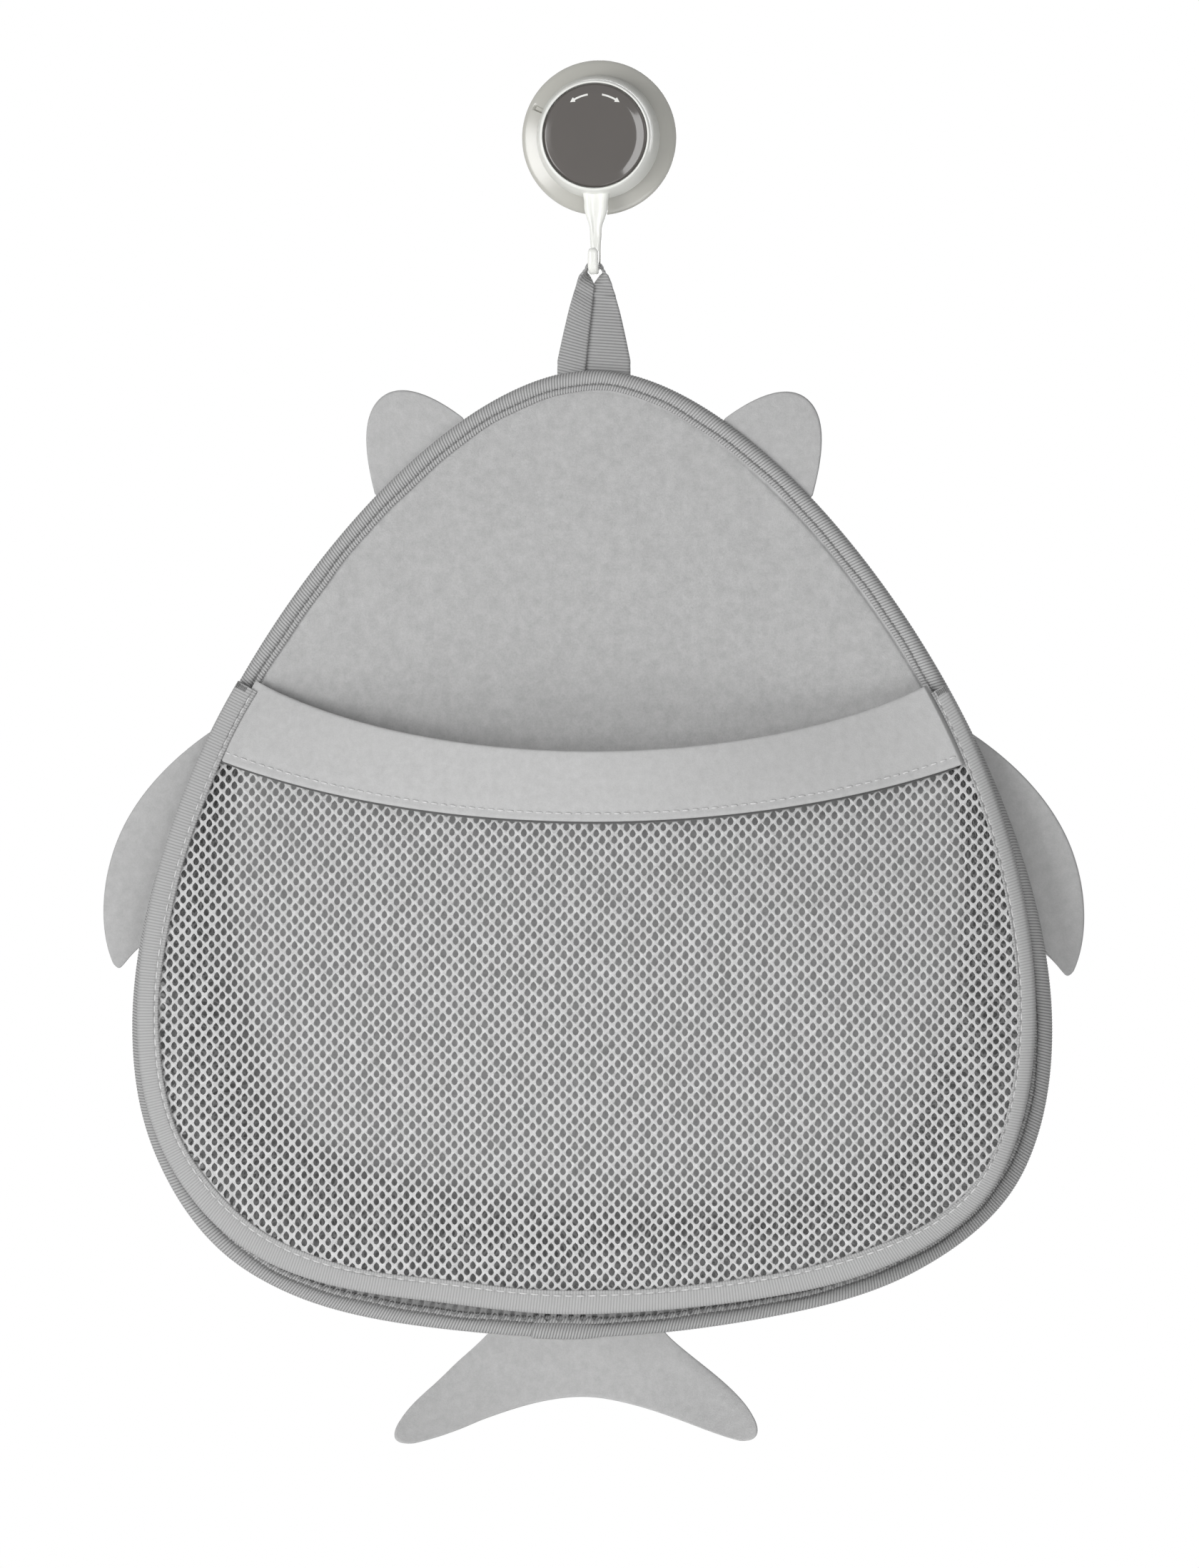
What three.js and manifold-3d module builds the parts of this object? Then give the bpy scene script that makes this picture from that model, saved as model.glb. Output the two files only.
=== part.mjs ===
import * as THREE from "three";
import { mergeVertices } from "three/addons/utils/BufferGeometryUtils.js";
import Module from "manifold-3d";

// Bath toy organizer: a flat bag with ears, flippers and a tail, and a mesh pocket on its front,
// hung by a ribbon loop from a twist-lock suction hook.
// Millimetres. The wall is the plane y = 0, the viewer looks along +Y and Z is up. A "depth" is a
// distance from the wall towards the viewer, so y = -depth. The hook turns about x = z = 0.

const wasm = await Module();
wasm.setup();

const { smoothstep, lerp, clamp } = THREE.MathUtils;

// Fits
const gap = 0.3;
const roundSegments = 40;

// Suction cup
const cupRadius = 30;
const lipWidth = 6;
const chamberHeight = 2.4;
const cupEdge = 1.1;
const cupConeRise = 2.5;
const bossRadius = 9.2;
const bossHeight = 9.5;

// Post, pin and cam
const postRadius = 3.6;
const postHeadRadius = 6;
const postHeadThickness = 2;
const pinRadius = 1.1;
const pinLength = 20;
const camRise = 2;
const camSweep = 90;

// Housing and knob
const housingRadius = 20.6;
const housingWall = 2;
const plateThickness = 1.5;
const towerWall = 2.3;
const knobStart = 5;
const knobBaseRadius = 24;
const knobRimRadius = 21.4;
const knobRimWall = 1.1;
const webThickness = 1.2;
const capThickness = 1.7;
const capDome = 0.5;

// Hook
const hookDrop = 51.9;
const hookArmDepth = 12.5;
const hookReach = 12;
const hookCorner = 3.2;
const hookTipRise = 8.4;
const armRootWidth = 9.3;
const armRootThickness = 5;
const armShoulder = 5.5;
const armNeck = 15;
const barWidth = 4.1;
const barThickness = 3.6;

// Ribbon loop
const ribbonThickness = 1.6;
const ribbonWidth = 13.8;
const gatheredWidth = 7;
const loopLength = 37.6;
const legsMeet = 6.4;
const seamGap = 0.9;

// Bag outline and back panel
const bagWidth = 356.6;
const bagHeight = 373.8;
const widestShare = 0.68;
const shoulderFullness = 0.4;
const flankFullness = 0.416;
const hipFullness = 0.587;
const baseFullness = 0.777;
const rearSkinThickness = 1.3;
const boardThickness = 1.4;
const frontSkinThickness = 2;
const tapeThickness = 0.9;
const tapeReach = 8.5;
const tapeFold = 3;

// Sewn flaps
const flapThickness = 2;
const flapGap = 0.8;
const earShare = 0.0886;
const earBase = 45;
const earHeight = 26.3;
const flipperShare = 0.486;
const flipperLength = 100;
const flipperWidth = 18.8;
const tailWidth = 142;
const tailHeight = 40;

// Pocket
const cornerShare = 0.3226;
const rimRise = 26;
const crownRise = 21;
const rimInsetSide = 6.5;
const rimInsetBottom = 11;
const frontTapeThickness = 0.8;
const frontReach = 9;
const slotGap = 0.4;
const netThickness = 1;
const netPitch = 24;
const netRow = 12.7;
const netBorder = 1;
const netTuck = 2;
const bandThickness = 2;
const bandGap = 0.7;
const bandDip = 26;
const bandSideDrop = 30;
const bandLowDip = 23;
const bandOverlap = 12;
const gussetThickness = 0.8;
const gussetFold = 34;

// Depths worked out from the sizes above
const lipInner = cupRadius - lipWidth;
const headTop = bossHeight - 1.5 - gap;
const headBottom = headTop - postHeadThickness;
const plateBack = bossHeight + 0.4;
const plateFront = plateBack + plateThickness;
const webBack = plateFront + 0.4;
const webFront = webBack + webThickness;
const camLow = webFront + 0.4;
const pinDepth = camLow + camRise + gap + pinRadius;
const towerRadius = postRadius + 0.4 + towerWall;
const towerFront = pinDepth + pinRadius + 0.4;
const capBack = towerFront + 0.4;
const knobFront = capBack + capThickness + 0.4;
const barDepth = hookArmDepth + hookReach / 2;
const barHeight = -hookDrop;
const bagTop = barHeight - loopLength - seamGap;
const bagBottom = bagTop - bagHeight;
const panelThickness = rearSkinThickness + boardThickness + frontSkinThickness + 2 * gap;
const panelBack = barDepth - panelThickness / 2;
const bindingHalf = panelThickness / 2 + gap + tapeThickness;
const bindingFront = barDepth + bindingHalf;
const frontHalf = netThickness / 2 + slotGap + frontTapeThickness;
const frontBase = bindingFront + gap + frontHalf;
const cornerHeight = bagTop - cornerShare * bagHeight;

function closed(geometry) {
  const bare = new THREE.BufferGeometry();
  bare.setAttribute("position", geometry.getAttribute("position"));
  bare.setIndex(geometry.getIndex());
  const merged = mergeVertices(bare, 1e-4);
  const at = merged.getAttribute("position");
  const index = merged.getIndex().array;
  const corners = [new THREE.Vector3(), new THREE.Vector3(), new THREE.Vector3()];
  const kept = [];
  let volume = 0;
  for (let i = 0; i < index.length; i += 3) {
    const face = [index[i], index[i + 1], index[i + 2]];
    if (new Set(face).size === 3) {
      kept.push(...face);
      face.forEach((vertex, k) => corners[k].fromBufferAttribute(at, vertex));
      volume += corners[0].dot(corners[1].cross(corners[2]));
    }
  }
  merged.setIndex(volume < 0 ? kept.reverse() : kept);
  return merged;
}

function toManifold(geometry) {
  const solid = closed(geometry);
  return new wasm.Manifold(new wasm.Mesh({
    numProp: 3,
    vertProperties: Float32Array.from(solid.getAttribute("position").array),
    triVerts: Uint32Array.from(solid.getIndex().array),
  }));
}

function fromManifold(manifold) {
  const mesh = manifold.getMesh();
  const geometry = new THREE.BufferGeometry();
  geometry.setAttribute("position", new THREE.BufferAttribute(mesh.vertProperties, 3));
  geometry.setIndex(new THREE.BufferAttribute(mesh.triVerts, 1));
  return geometry;
}

function join(first, ...others) {
  return fromManifold(others.reduce((sum, other) => sum.add(toManifold(other)), toManifold(first)));
}

function cut(base, ...tools) {
  return fromManifold(tools.reduce((left, tool) => left.subtract(toManifold(tool)), toManifold(base)));
}

// A profile of [radius, depth] pairs turned about the hook axis.
function turned(profile) {
  const points = profile.map(([radius, depth]) => new THREE.Vector2(radius, -depth));
  const startsOnAxis = profile[0][0] === 0;
  return new THREE.LatheGeometry(startsOnAxis ? points : [...points, points[0]], roundSegments);
}

// A row of equal section rings, skinned. An open row is capped with the triangles of its section.
function loft(rings, section, isRound = false) {
  const flipped = THREE.ShapeUtils.isClockWise(section);
  const outline = flipped ? [...section].reverse() : section;
  const rows = flipped ? rings.map((ring) => [...ring].reverse()) : rings;
  const size = outline.length;
  const index = [];
  const spans = isRound ? rows.length : rows.length - 1;
  for (let i = 0; i < spans; i++) {
    const here = i * size;
    const next = ((i + 1) % rows.length) * size;
    for (let k = 0; k < size; k++) {
      const side = (k + 1) % size;
      index.push(here + k, here + side, next + side);
      index.push(here + k, next + side, next + k);
    }
  }
  if (!isRound) {
    const last = (rows.length - 1) * size;
    for (const [a, b, c] of THREE.ShapeUtils.triangulateShape(outline, [])) {
      index.push(c, b, a);
      index.push(last + a, last + b, last + c);
    }
  }
  const geometry = new THREE.BufferGeometry().setFromPoints(rows.flat());
  geometry.setIndex(index);
  return geometry;
}

// A flat plate with its outline in x and z, between two depths.
function plate(shape, backDepth, frontDepth) {
  const geometry = new THREE.ExtrudeGeometry(shape, { depth: frontDepth - backDepth, bevelEnabled: false });
  geometry.rotateX(Math.PI / 2);
  geometry.translate(0, -backDepth, 0);
  return geometry;
}

function bar(radius, length, depth) {
  const geometry = new THREE.CylinderGeometry(radius, radius, length, 16);
  geometry.rotateZ(Math.PI / 2);
  geometry.translate(0, -depth, 0);
  return geometry;
}

function suctionCup() {
  const coneTop = cupEdge + cupConeRise;
  const headRoom = postHeadRadius + gap;
  return turned([
    [0, chamberHeight],
    [lipInner * 0.58, chamberHeight - 0.2],
    [lipInner * 0.92, chamberHeight * 0.5],
    [lipInner, 0],
    [cupRadius, 0],
    [cupRadius, cupEdge],
    [cupRadius - 1.4, cupEdge + 0.8],
    [lipInner - 0.8, coneTop],
    [bossRadius + 3, coneTop + 0.6],
    [bossRadius, coneTop + 1.4],
    [bossRadius, bossHeight],
    [postRadius + gap, bossHeight],
    [postRadius + gap, headTop + gap],
    [headRoom, headTop + gap],
    [headRoom, headBottom - camRise - gap],
    [0, headBottom - camRise - gap],
  ]);
}

function baseHousing() {
  const bore = postRadius + 0.4;
  const skirtInner = housingRadius - housingWall;
  const skirtBack = cupEdge + cupConeRise + 0.6;
  const slot = new THREE.BoxGeometry(2 * towerRadius + 2, towerFront, 2 * (pinRadius + gap));
  slot.translate(0, -(pinDepth - camRise - pinRadius - gap) - towerFront / 2, 0);
  const body = turned([
    [bore, plateBack],
    [skirtInner, plateBack],
    [skirtInner, skirtBack],
    [housingRadius, skirtBack],
    [housingRadius, plateFront],
    [towerRadius, plateFront],
    [towerRadius, towerFront],
    [bore, towerFront],
  ]);
  return cut(body, slot);
}

function cupPost() {
  const body = turned([
    [0, headBottom],
    [postHeadRadius, headBottom],
    [postHeadRadius, headTop],
    [postRadius, headTop],
    [postRadius, towerFront - 0.1],
    [0, towerFront - 0.1],
  ]);
  return cut(body, bar(pinRadius + gap, 4 * postRadius, pinDepth));
}

// One helical ramp on the front of the knob web. It lifts the pin as the knob turns shut.
function camRamp(startAngle) {
  const inner = towerRadius + 0.5;
  const outer = inner + 3.8;
  const overrun = 10;
  const steps = 11;
  const section = [[inner, 0], [outer, 0], [outer, 1], [inner, 1]].map(([x, y]) => new THREE.Vector2(x, y));
  const rings = [];
  for (let i = 0; i <= steps; i++) {
    const turn = lerp(-camSweep - overrun, overrun, i / steps);
    const top = camLow + camRise + (camRise * turn) / camSweep;
    const angle = THREE.MathUtils.degToRad(startAngle + turn);
    rings.push(section.map(({ x, y }) => new THREE.Vector3(
      x * Math.cos(angle),
      -lerp(webFront - 0.5, top, y),
      x * Math.sin(angle),
    )));
  }
  return loft(rings, section);
}

function hookArm() {
  const turns = 12;
  const path = new THREE.Path();
  const tipDepth = hookArmDepth + hookReach;
  const rootHeight = -(housingRadius + 1);
  const tipTop = barHeight + hookTipRise;
  path.moveTo(hookArmDepth, rootHeight);
  path.lineTo(hookArmDepth, barHeight + hookCorner);
  path.absarc(hookArmDepth + hookCorner, barHeight + hookCorner, hookCorner, Math.PI, 1.5 * Math.PI, false);
  path.lineTo(tipDepth - hookCorner, barHeight);
  path.absarc(tipDepth - hookCorner, barHeight + hookCorner, hookCorner, 1.5 * Math.PI, 2 * Math.PI, false);
  path.lineTo(tipDepth, tipTop);
  const length = path.getLength();
  const taperSteps = 5;
  const stations = [0];
  for (let i = 0; i <= taperSteps; i++) {
    stations.push(lerp(armShoulder, armNeck, i / taperSteps));
  }
  const bendStart = rootHeight - barHeight - hookCorner;
  for (let along = bendStart; along < length - 2; along += 1.2) {
    stations.push(along);
  }
  stations.push(length - 1.6, length - 0.7, length - 0.2, length);
  const square = (value) => Math.sign(value) * Math.abs(value) ** 0.8;
  const section = [];
  for (let k = 0; k < turns; k++) {
    const angle = (2 * Math.PI * k) / turns;
    section.push(new THREE.Vector2(square(Math.cos(angle)), square(Math.sin(angle))));
  }
  const rings = stations.map((along) => {
    const centre = path.getPoint(along / length);
    const tangent = path.getTangent(along / length);
    const taper = smoothstep(along, armShoulder, armNeck);
    const tip = clamp(1 - (length - along) / 1.6, 0, 1);
    const round = Math.sqrt(1 - 0.75 * tip * tip);
    const halfWidth = (lerp(armRootWidth, barWidth, taper) / 2) * round;
    const halfThickness = (lerp(armRootThickness, barThickness, taper) / 2) * round;
    return section.map(({ x, y }) => new THREE.Vector3(
      x * halfWidth,
      -(centre.x - y * halfThickness * tangent.y),
      centre.y + y * halfThickness * tangent.x,
    ));
  });
  return loft(rings, section);
}

function hookKnob() {
  const bore = housingRadius + 0.4;
  const recess = knobRimRadius - knobRimWall;
  const ledge = recess - 1.7;
  const ring = turned([
    [bore, knobStart],
    [knobBaseRadius, knobStart],
    [knobRimRadius, knobFront - 0.5],
    [knobRimRadius - 0.4, knobFront],
    [recess, knobFront],
    [recess, capBack - gap],
    [ledge, capBack - gap],
    [ledge, webFront],
    [towerRadius + 0.5, webFront],
    [towerRadius + 0.5, webBack],
    [bore, webBack],
  ]);
  return join(ring, camRamp(0), camRamp(180), hookArm());
}

function knobCap() {
  const radius = knobRimRadius - knobRimWall - gap;
  const front = capBack + capThickness;
  return turned([
    [0, capBack],
    [radius, capBack],
    [radius, front - 0.5],
    [radius - 0.5, front],
    [radius * 0.6, front + capDome * 0.64],
    [0, front + capDome],
  ]);
}

// Ribbon: flat legs side by side at the bag, gathered and turned edge-on where they pass the hook.
// Each leg is turned until it fills the room between its outer edge and the middle.
function hangingLoop() {
  const half = ribbonThickness / 2;
  const soft = 0.35;
  const innerRadius = barWidth / 2 + 0.35;
  const bend = innerRadius + half;
  const section = [
    [1, soft], [1, -soft], [0.96, -1], [-0.96, -1], [-1, -soft], [-1, soft], [-0.96, 1], [0.96, 1],
  ].map(([x, y]) => new THREE.Vector2(x, y));
  const ringAt = (x, z, width, widthAxis, thicknessAxis) => section.map((point) => (
    new THREE.Vector3(x, -barDepth, z)
      .addScaledVector(widthAxis, (point.x * width) / 2)
      .addScaledVector(thicknessAxis, point.y * half)
  ));
  const turnToFill = (room, width) => {
    let angle = Math.PI / 2;
    for (let pass = 0; pass < 8; pass++) {
      angle = Math.acos(clamp((room - ribbonThickness * Math.sin(angle)) / width, 0, 1));
    }
    return angle;
  };
  const legSteps = 18;
  const leg = (side) => {
    const rings = [];
    for (let i = 0; i <= legSteps; i++) {
      const down = (i / legSteps) ** 1.4;
      const width = lerp(gatheredWidth, ribbonWidth, down ** 1.45);
      const inner = lerp(innerRadius, gap, smoothstep(down * loopLength, 0, legsMeet));
      const outer = lerp(bend + half, ribbonWidth + gap, down ** 0.92);
      const flatten = 1 - smoothstep(down, 0.7, 1);
      const angle = down === 0 ? Math.PI / 2 : turnToFill(outer - inner, width) * flatten;
      rings.push(ringAt(
        side * (inner + outer) / 2,
        barHeight - loopLength * down,
        width,
        new THREE.Vector3(side * Math.cos(angle), -Math.sin(angle), 0),
        new THREE.Vector3(side * Math.sin(angle), Math.cos(angle), 0),
      ));
    }
    return rings;
  };
  const arcSteps = 10;
  const arc = [];
  for (let i = 1; i < arcSteps; i++) {
    const angle = (Math.PI * i) / arcSteps;
    const radial = new THREE.Vector3(Math.cos(angle), 0, Math.sin(angle));
    arc.push(ringAt(
      bend * radial.x,
      barHeight + bend * radial.z,
      gatheredWidth,
      new THREE.Vector3(0, -1, 0),
      radial,
    ));
  }
  return loft([...leg(1).reverse(), ...arc, ...leg(-1)], section);
}

// Outline of the bag in x and z, clockwise from the middle of its top.
function bagPath() {
  const half = bagWidth / 2;
  const wide = bagTop - widestShare * bagHeight;
  const shoulder = shoulderFullness * half;
  const flank = wide + flankFullness * (bagTop - wide);
  const hip = wide - hipFullness * (wide - bagBottom);
  const base = baseFullness * half;
  const path = new THREE.CurvePath();
  const right = [[0, bagTop], [shoulder, bagTop], [half, flank], [half, wide]];
  const lower = [[half, wide], [half, hip], [base, bagBottom], [0, bagBottom]];
  const mirrored = (points) => points.map(([x, z]) => [-x, z]).reverse();
  for (const points of [right, lower, mirrored(lower), mirrored(right)]) {
    path.add(new THREE.CubicBezierCurve(...points.map(([x, z]) => new THREE.Vector2(x, z))));
  }
  return path;
}

const outline = bagPath();

function edgeFrame(share) {
  const point = outline.getPoint(share);
  const along = outline.getTangent(share);
  return { point, along, out: new THREE.Vector2(-along.y, along.x) };
}

function edgePoint(share, inset) {
  const { point, out } = edgeFrame(share);
  return point.addScaledVector(out, -inset);
}

// Share of the outline where its right half passes a height.
function shareAtHeight(height) {
  let low = 0;
  let high = 0.5;
  for (let i = 0; i < 40; i++) {
    const middle = (low + high) / 2;
    if (outline.getPoint(middle).y > height) {
      low = middle;
    } else {
      high = middle;
    }
  }
  return high;
}

function insetShape(inset, count) {
  const points = [];
  for (let i = 0; i < count; i++) {
    points.push(edgePoint(i / count, inset));
  }
  return new THREE.Shape(points);
}

function skin(inset, backDepth, thickness) {
  return plate(insetShape(inset, 72), backDepth, backDepth + thickness);
}

// Tape folded over the panel edge: a U section carried round the whole outline.
function backBinding() {
  const inner = bindingHalf - tapeThickness;
  const section = [[-tapeReach, bindingHalf], [-tapeFold, bindingHalf]];
  for (const angle of [50, 0, -50]) {
    const turn = THREE.MathUtils.degToRad(angle);
    section.push([tapeFold * (Math.cos(turn) - 1), bindingHalf * Math.sin(turn)]);
  }
  section.push([-tapeFold, -bindingHalf], [-tapeReach, -bindingHalf], [-tapeReach, -inner]);
  section.push([-tapeFold, -inner], [-tapeThickness, 0], [-tapeFold, inner], [-tapeReach, inner]);
  const steps = 72;
  const rings = [];
  for (let i = 0; i < steps; i++) {
    rings.push(section.map(([out, depth]) => {
      const point = edgePoint(i / steps, -out);
      return new THREE.Vector3(point.x, -(barDepth + depth), point.y);
    }));
  }
  return loft(rings, section.map(([out, depth]) => new THREE.Vector2(out, depth)), true);
}

// A flap drawn beside the outline, along it and outwards from it, and trimmed clear of the tape.
function flap(drawing, share, side) {
  const { point, along, out } = edgeFrame(share);
  const corners = drawing.getPoints(9).map(({ x, y }) => {
    const corner = point.clone().addScaledVector(along, x).addScaledVector(out, y);
    return new THREE.Vector2(side * corner.x, corner.y);
  });
  const sheet = plate(new THREE.Shape(corners), barDepth - flapThickness / 2, barDepth + flapThickness / 2);
  const clearance = plate(insetShape(-flapGap, 160), barDepth - flapThickness, barDepth + flapThickness);
  return cut(sheet, clearance);
}

function ear(side) {
  const half = earBase / 2;
  const lobe = new THREE.Shape();
  lobe.moveTo(-half, 0);
  lobe.bezierCurveTo(-half * 0.89, earHeight * 0.46, -half * 0.64, earHeight, -half * 0.16, earHeight);
  lobe.bezierCurveTo(half * 0.31, earHeight, half * 0.69, earHeight * 0.53, half, 0);
  lobe.lineTo(half * 0.8, -earHeight * 0.4);
  lobe.lineTo(-half * 0.8, -earHeight * 0.4);
  return flap(lobe, shareAtHeight(bagTop - earShare * bagHeight), side);
}

function flipper(side) {
  const long = flipperLength;
  const wide = flipperWidth;
  const fin = new THREE.Shape();
  fin.moveTo(-0.454 * long, -0.16 * wide);
  fin.bezierCurveTo(-0.3 * long, 0.46 * wide, -0.1 * long, wide, 0.11 * long, wide);
  fin.bezierCurveTo(0.28 * long, wide, 0.44 * long, 0.7 * wide, 0.532 * long, 0.24 * wide);
  fin.quadraticCurveTo(0.556 * long, 0.06 * wide, 0.525 * long, 0.03 * wide);
  fin.lineTo(0.424 * long, -0.16 * wide);
  fin.lineTo(0.3 * long, -0.65 * wide);
  fin.lineTo(-0.3 * long, -0.65 * wide);
  return flap(fin, shareAtHeight(bagTop - flipperShare * bagHeight), side);
}

function tailFin() {
  const half = tailWidth / 2;
  const tall = tailHeight;
  const fork = new THREE.Shape();
  fork.moveTo(-0.49 * half, -0.06 * tall);
  fork.bezierCurveTo(-0.63 * half, 0.2 * tall, -0.87 * half, 0.49 * tall, -0.96 * half, 0.77 * tall);
  fork.bezierCurveTo(-1.01 * half, 0.91 * tall, -half, 1.01 * tall, -0.89 * half, tall);
  fork.bezierCurveTo(-0.63 * half, 0.9 * tall, -0.31 * half, 0.57 * tall, 0, 0.57 * tall);
  fork.bezierCurveTo(0.31 * half, 0.57 * tall, 0.63 * half, 0.9 * tall, 0.89 * half, tall);
  fork.bezierCurveTo(half, 1.01 * tall, 1.01 * half, 0.91 * tall, 0.96 * half, 0.77 * tall);
  fork.bezierCurveTo(0.87 * half, 0.49 * tall, 0.63 * half, 0.2 * tall, 0.49 * half, -0.06 * tall);
  fork.lineTo(0.4 * half, -0.3 * tall);
  fork.lineTo(-0.4 * half, -0.3 * tall);
  return flap(fork, 0.5, 1);
}

// Front rim of the pocket: the outline drawn in, from nothing at its two corners.
const cornerAt = shareAtHeight(cornerHeight);

function rimInset(share) {
  const down = clamp((share - cornerAt) / (0.5 - cornerAt), 0, 1);
  const lower = rimInsetBottom - rimInsetSide;
  return rimInsetSide * smoothstep(down, 0, 0.5) + lower * smoothstep(down, 0.5, 1);
}

function rimPoint(share, inset) {
  return edgePoint(share, rimInset(Math.min(share, 1 - share)) + inset);
}

// Half width of the rim, drawn in by an inset, at any height. Nothing is left below its lowest point.
function rimProfile(inset) {
  const steps = 160;
  const points = [];
  for (let i = 0; i <= steps; i++) {
    points.push(rimPoint(lerp(0.03, 0.5, i / steps), inset));
  }
  return (height) => {
    const below = points.findIndex((point) => point.y <= height);
    if (below < 0) {
      return 0;
    }
    const low = points[Math.max(below, 1)];
    const high = points[Math.max(below, 1) - 1];
    return lerp(low.x, high.x, (height - low.y) / (high.y - low.y));
  };
}

const rimBottom = rimPoint(0.5, 0).y;
const tapeInnerAt = rimProfile(frontReach);
const bandEdgeAt = rimProfile(frontReach + gap);
const hemEdgeAt = rimProfile(frontReach + netBorder);
const netEdgeAt = rimProfile(netTuck);

function rimDepth(height) {
  const down = clamp((cornerHeight - height) / (cornerHeight - rimBottom), 0, 1);
  return frontBase + rimRise * Math.sin((Math.PI / 2) * Math.min(1, down / 0.8));
}

// Depth of the pocket front: the rim depth, crowned towards the middle of the mouth.
function pocketDepth(x, height) {
  const down = clamp((cornerHeight - height) / (cornerHeight - rimBottom), 0, 1);
  const half = Math.max(tapeInnerAt(height) - 2, 1);
  const across = Math.min(1, Math.abs(x) / half);
  return rimDepth(height) + crownRise * (1 - down) ** 1.3 * (1 - across ** 2) ** 2;
}

function drape(geometry) {
  const at = geometry.getAttribute("position");
  for (let i = 0; i < at.count; i++) {
    at.setY(i, at.getY(i) - pocketDepth(at.getX(i), at.getZ(i)));
  }
  return geometry;
}

function bandTop(across) {
  return cornerHeight - bandDip * (1 - across ** 2);
}

function bandLow(across) {
  return cornerHeight - bandSideDrop - bandLowDip * (1 - across ** 2);
}

// Outline of the mesh front: under the band along the top, then round the rim.
function netOutline() {
  const points = [];
  const topSteps = 44;
  for (let i = 0; i <= topSteps; i++) {
    const across = lerp(-1, 1, i / topSteps);
    const height = bandLow(across) + bandOverlap;
    points.push(new THREE.Vector2(across * netEdgeAt(height), height));
  }
  const rimSteps = 84;
  for (let i = 0; i <= rimSteps; i++) {
    const point = rimPoint(lerp(cornerAt, 1 - cornerAt, i / rimSteps), netTuck);
    if (point.y < bandLow(1) + bandOverlap - 3) {
      points.push(point);
    }
  }
  return points.reverse();
}

// Centres of the net's cells, in staggered rows, wherever a whole cell fits inside the hem.
function netCells() {
  const fits = (x, height) => {
    const half = hemEdgeAt(height);
    return Math.abs(x) < half && height < bandLow(x / half) - 1;
  };
  const columns = Math.ceil(bagWidth / netPitch / 2);
  const rows = Math.ceil(bagHeight / netRow);
  const cells = [];
  for (let row = 0; row < rows; row++) {
    const height = cornerHeight - netRow * row;
    for (let column = -columns; column <= columns; column++) {
      const x = (column + (row % 2) / 2) * netPitch;
      const side = netPitch / 2;
      const isInside = fits(x - side, height) && fits(x + side, height);
      if (isInside && fits(x, height + netRow) && fits(x, height - netRow)) {
        cells.push(new THREE.Vector2(x, height));
      }
    }
  }
  return cells;
}

// Closed line round a patch of cells, from the cell edges that only one cell uses.
function patchEdge(loops) {
  const name = (point) => `${point.x.toFixed(3)} ${point.y.toFixed(3)}`;
  const next = new Map();
  for (const loop of loops) {
    loop.forEach((point, k) => {
      const after = loop[(k + 1) % loop.length];
      next.set(`${name(point)} to ${name(after)}`, [point, after]);
    });
  }
  const outer = [...next.values()].filter(([point, after]) => !next.has(`${name(after)} to ${name(point)}`));
  const follow = new Map(outer.map(([point, after]) => [name(point), after]));
  const line = [outer[0][0]];
  while (line.length < outer.length) {
    line.push(follow.get(name(line[line.length - 1])));
  }
  return line;
}

// Triangles between two closed lines, one inside the other, always closing with the shorter edge.
function ringFaces(outer, inner) {
  const area = (a, b, c) => (b.x - a.x) * (c.y - a.y) - (b.y - a.y) * (c.x - a.x);
  const distances = outer.map((point) => point.distanceTo(inner[0]));
  const start = distances.indexOf(Math.min(...distances));
  const faces = [];
  let i = 0;
  let j = 0;
  while (i < outer.length || j < inner.length) {
    const here = (start + i) % outer.length;
    const ahead = (start + i + 1) % outer.length;
    const inside = j % inner.length;
    const further = (j + 1) % inner.length;
    const [a, b, c, d] = [outer[here], outer[ahead], inner[inside], inner[further]];
    const canStepOuter = i < outer.length && area(a, b, c) > 0;
    const canStepInner = j < inner.length && area(a, d, c) > 0;
    if (canStepOuter && (!canStepInner || b.distanceTo(c) < a.distanceTo(d))) {
      faces.push([here, ahead, outer.length + inside]);
      i += 1;
    } else {
      faces.push([here, outer.length + further, outer.length + inside]);
      j += 1;
    }
  }
  return faces;
}

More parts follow.
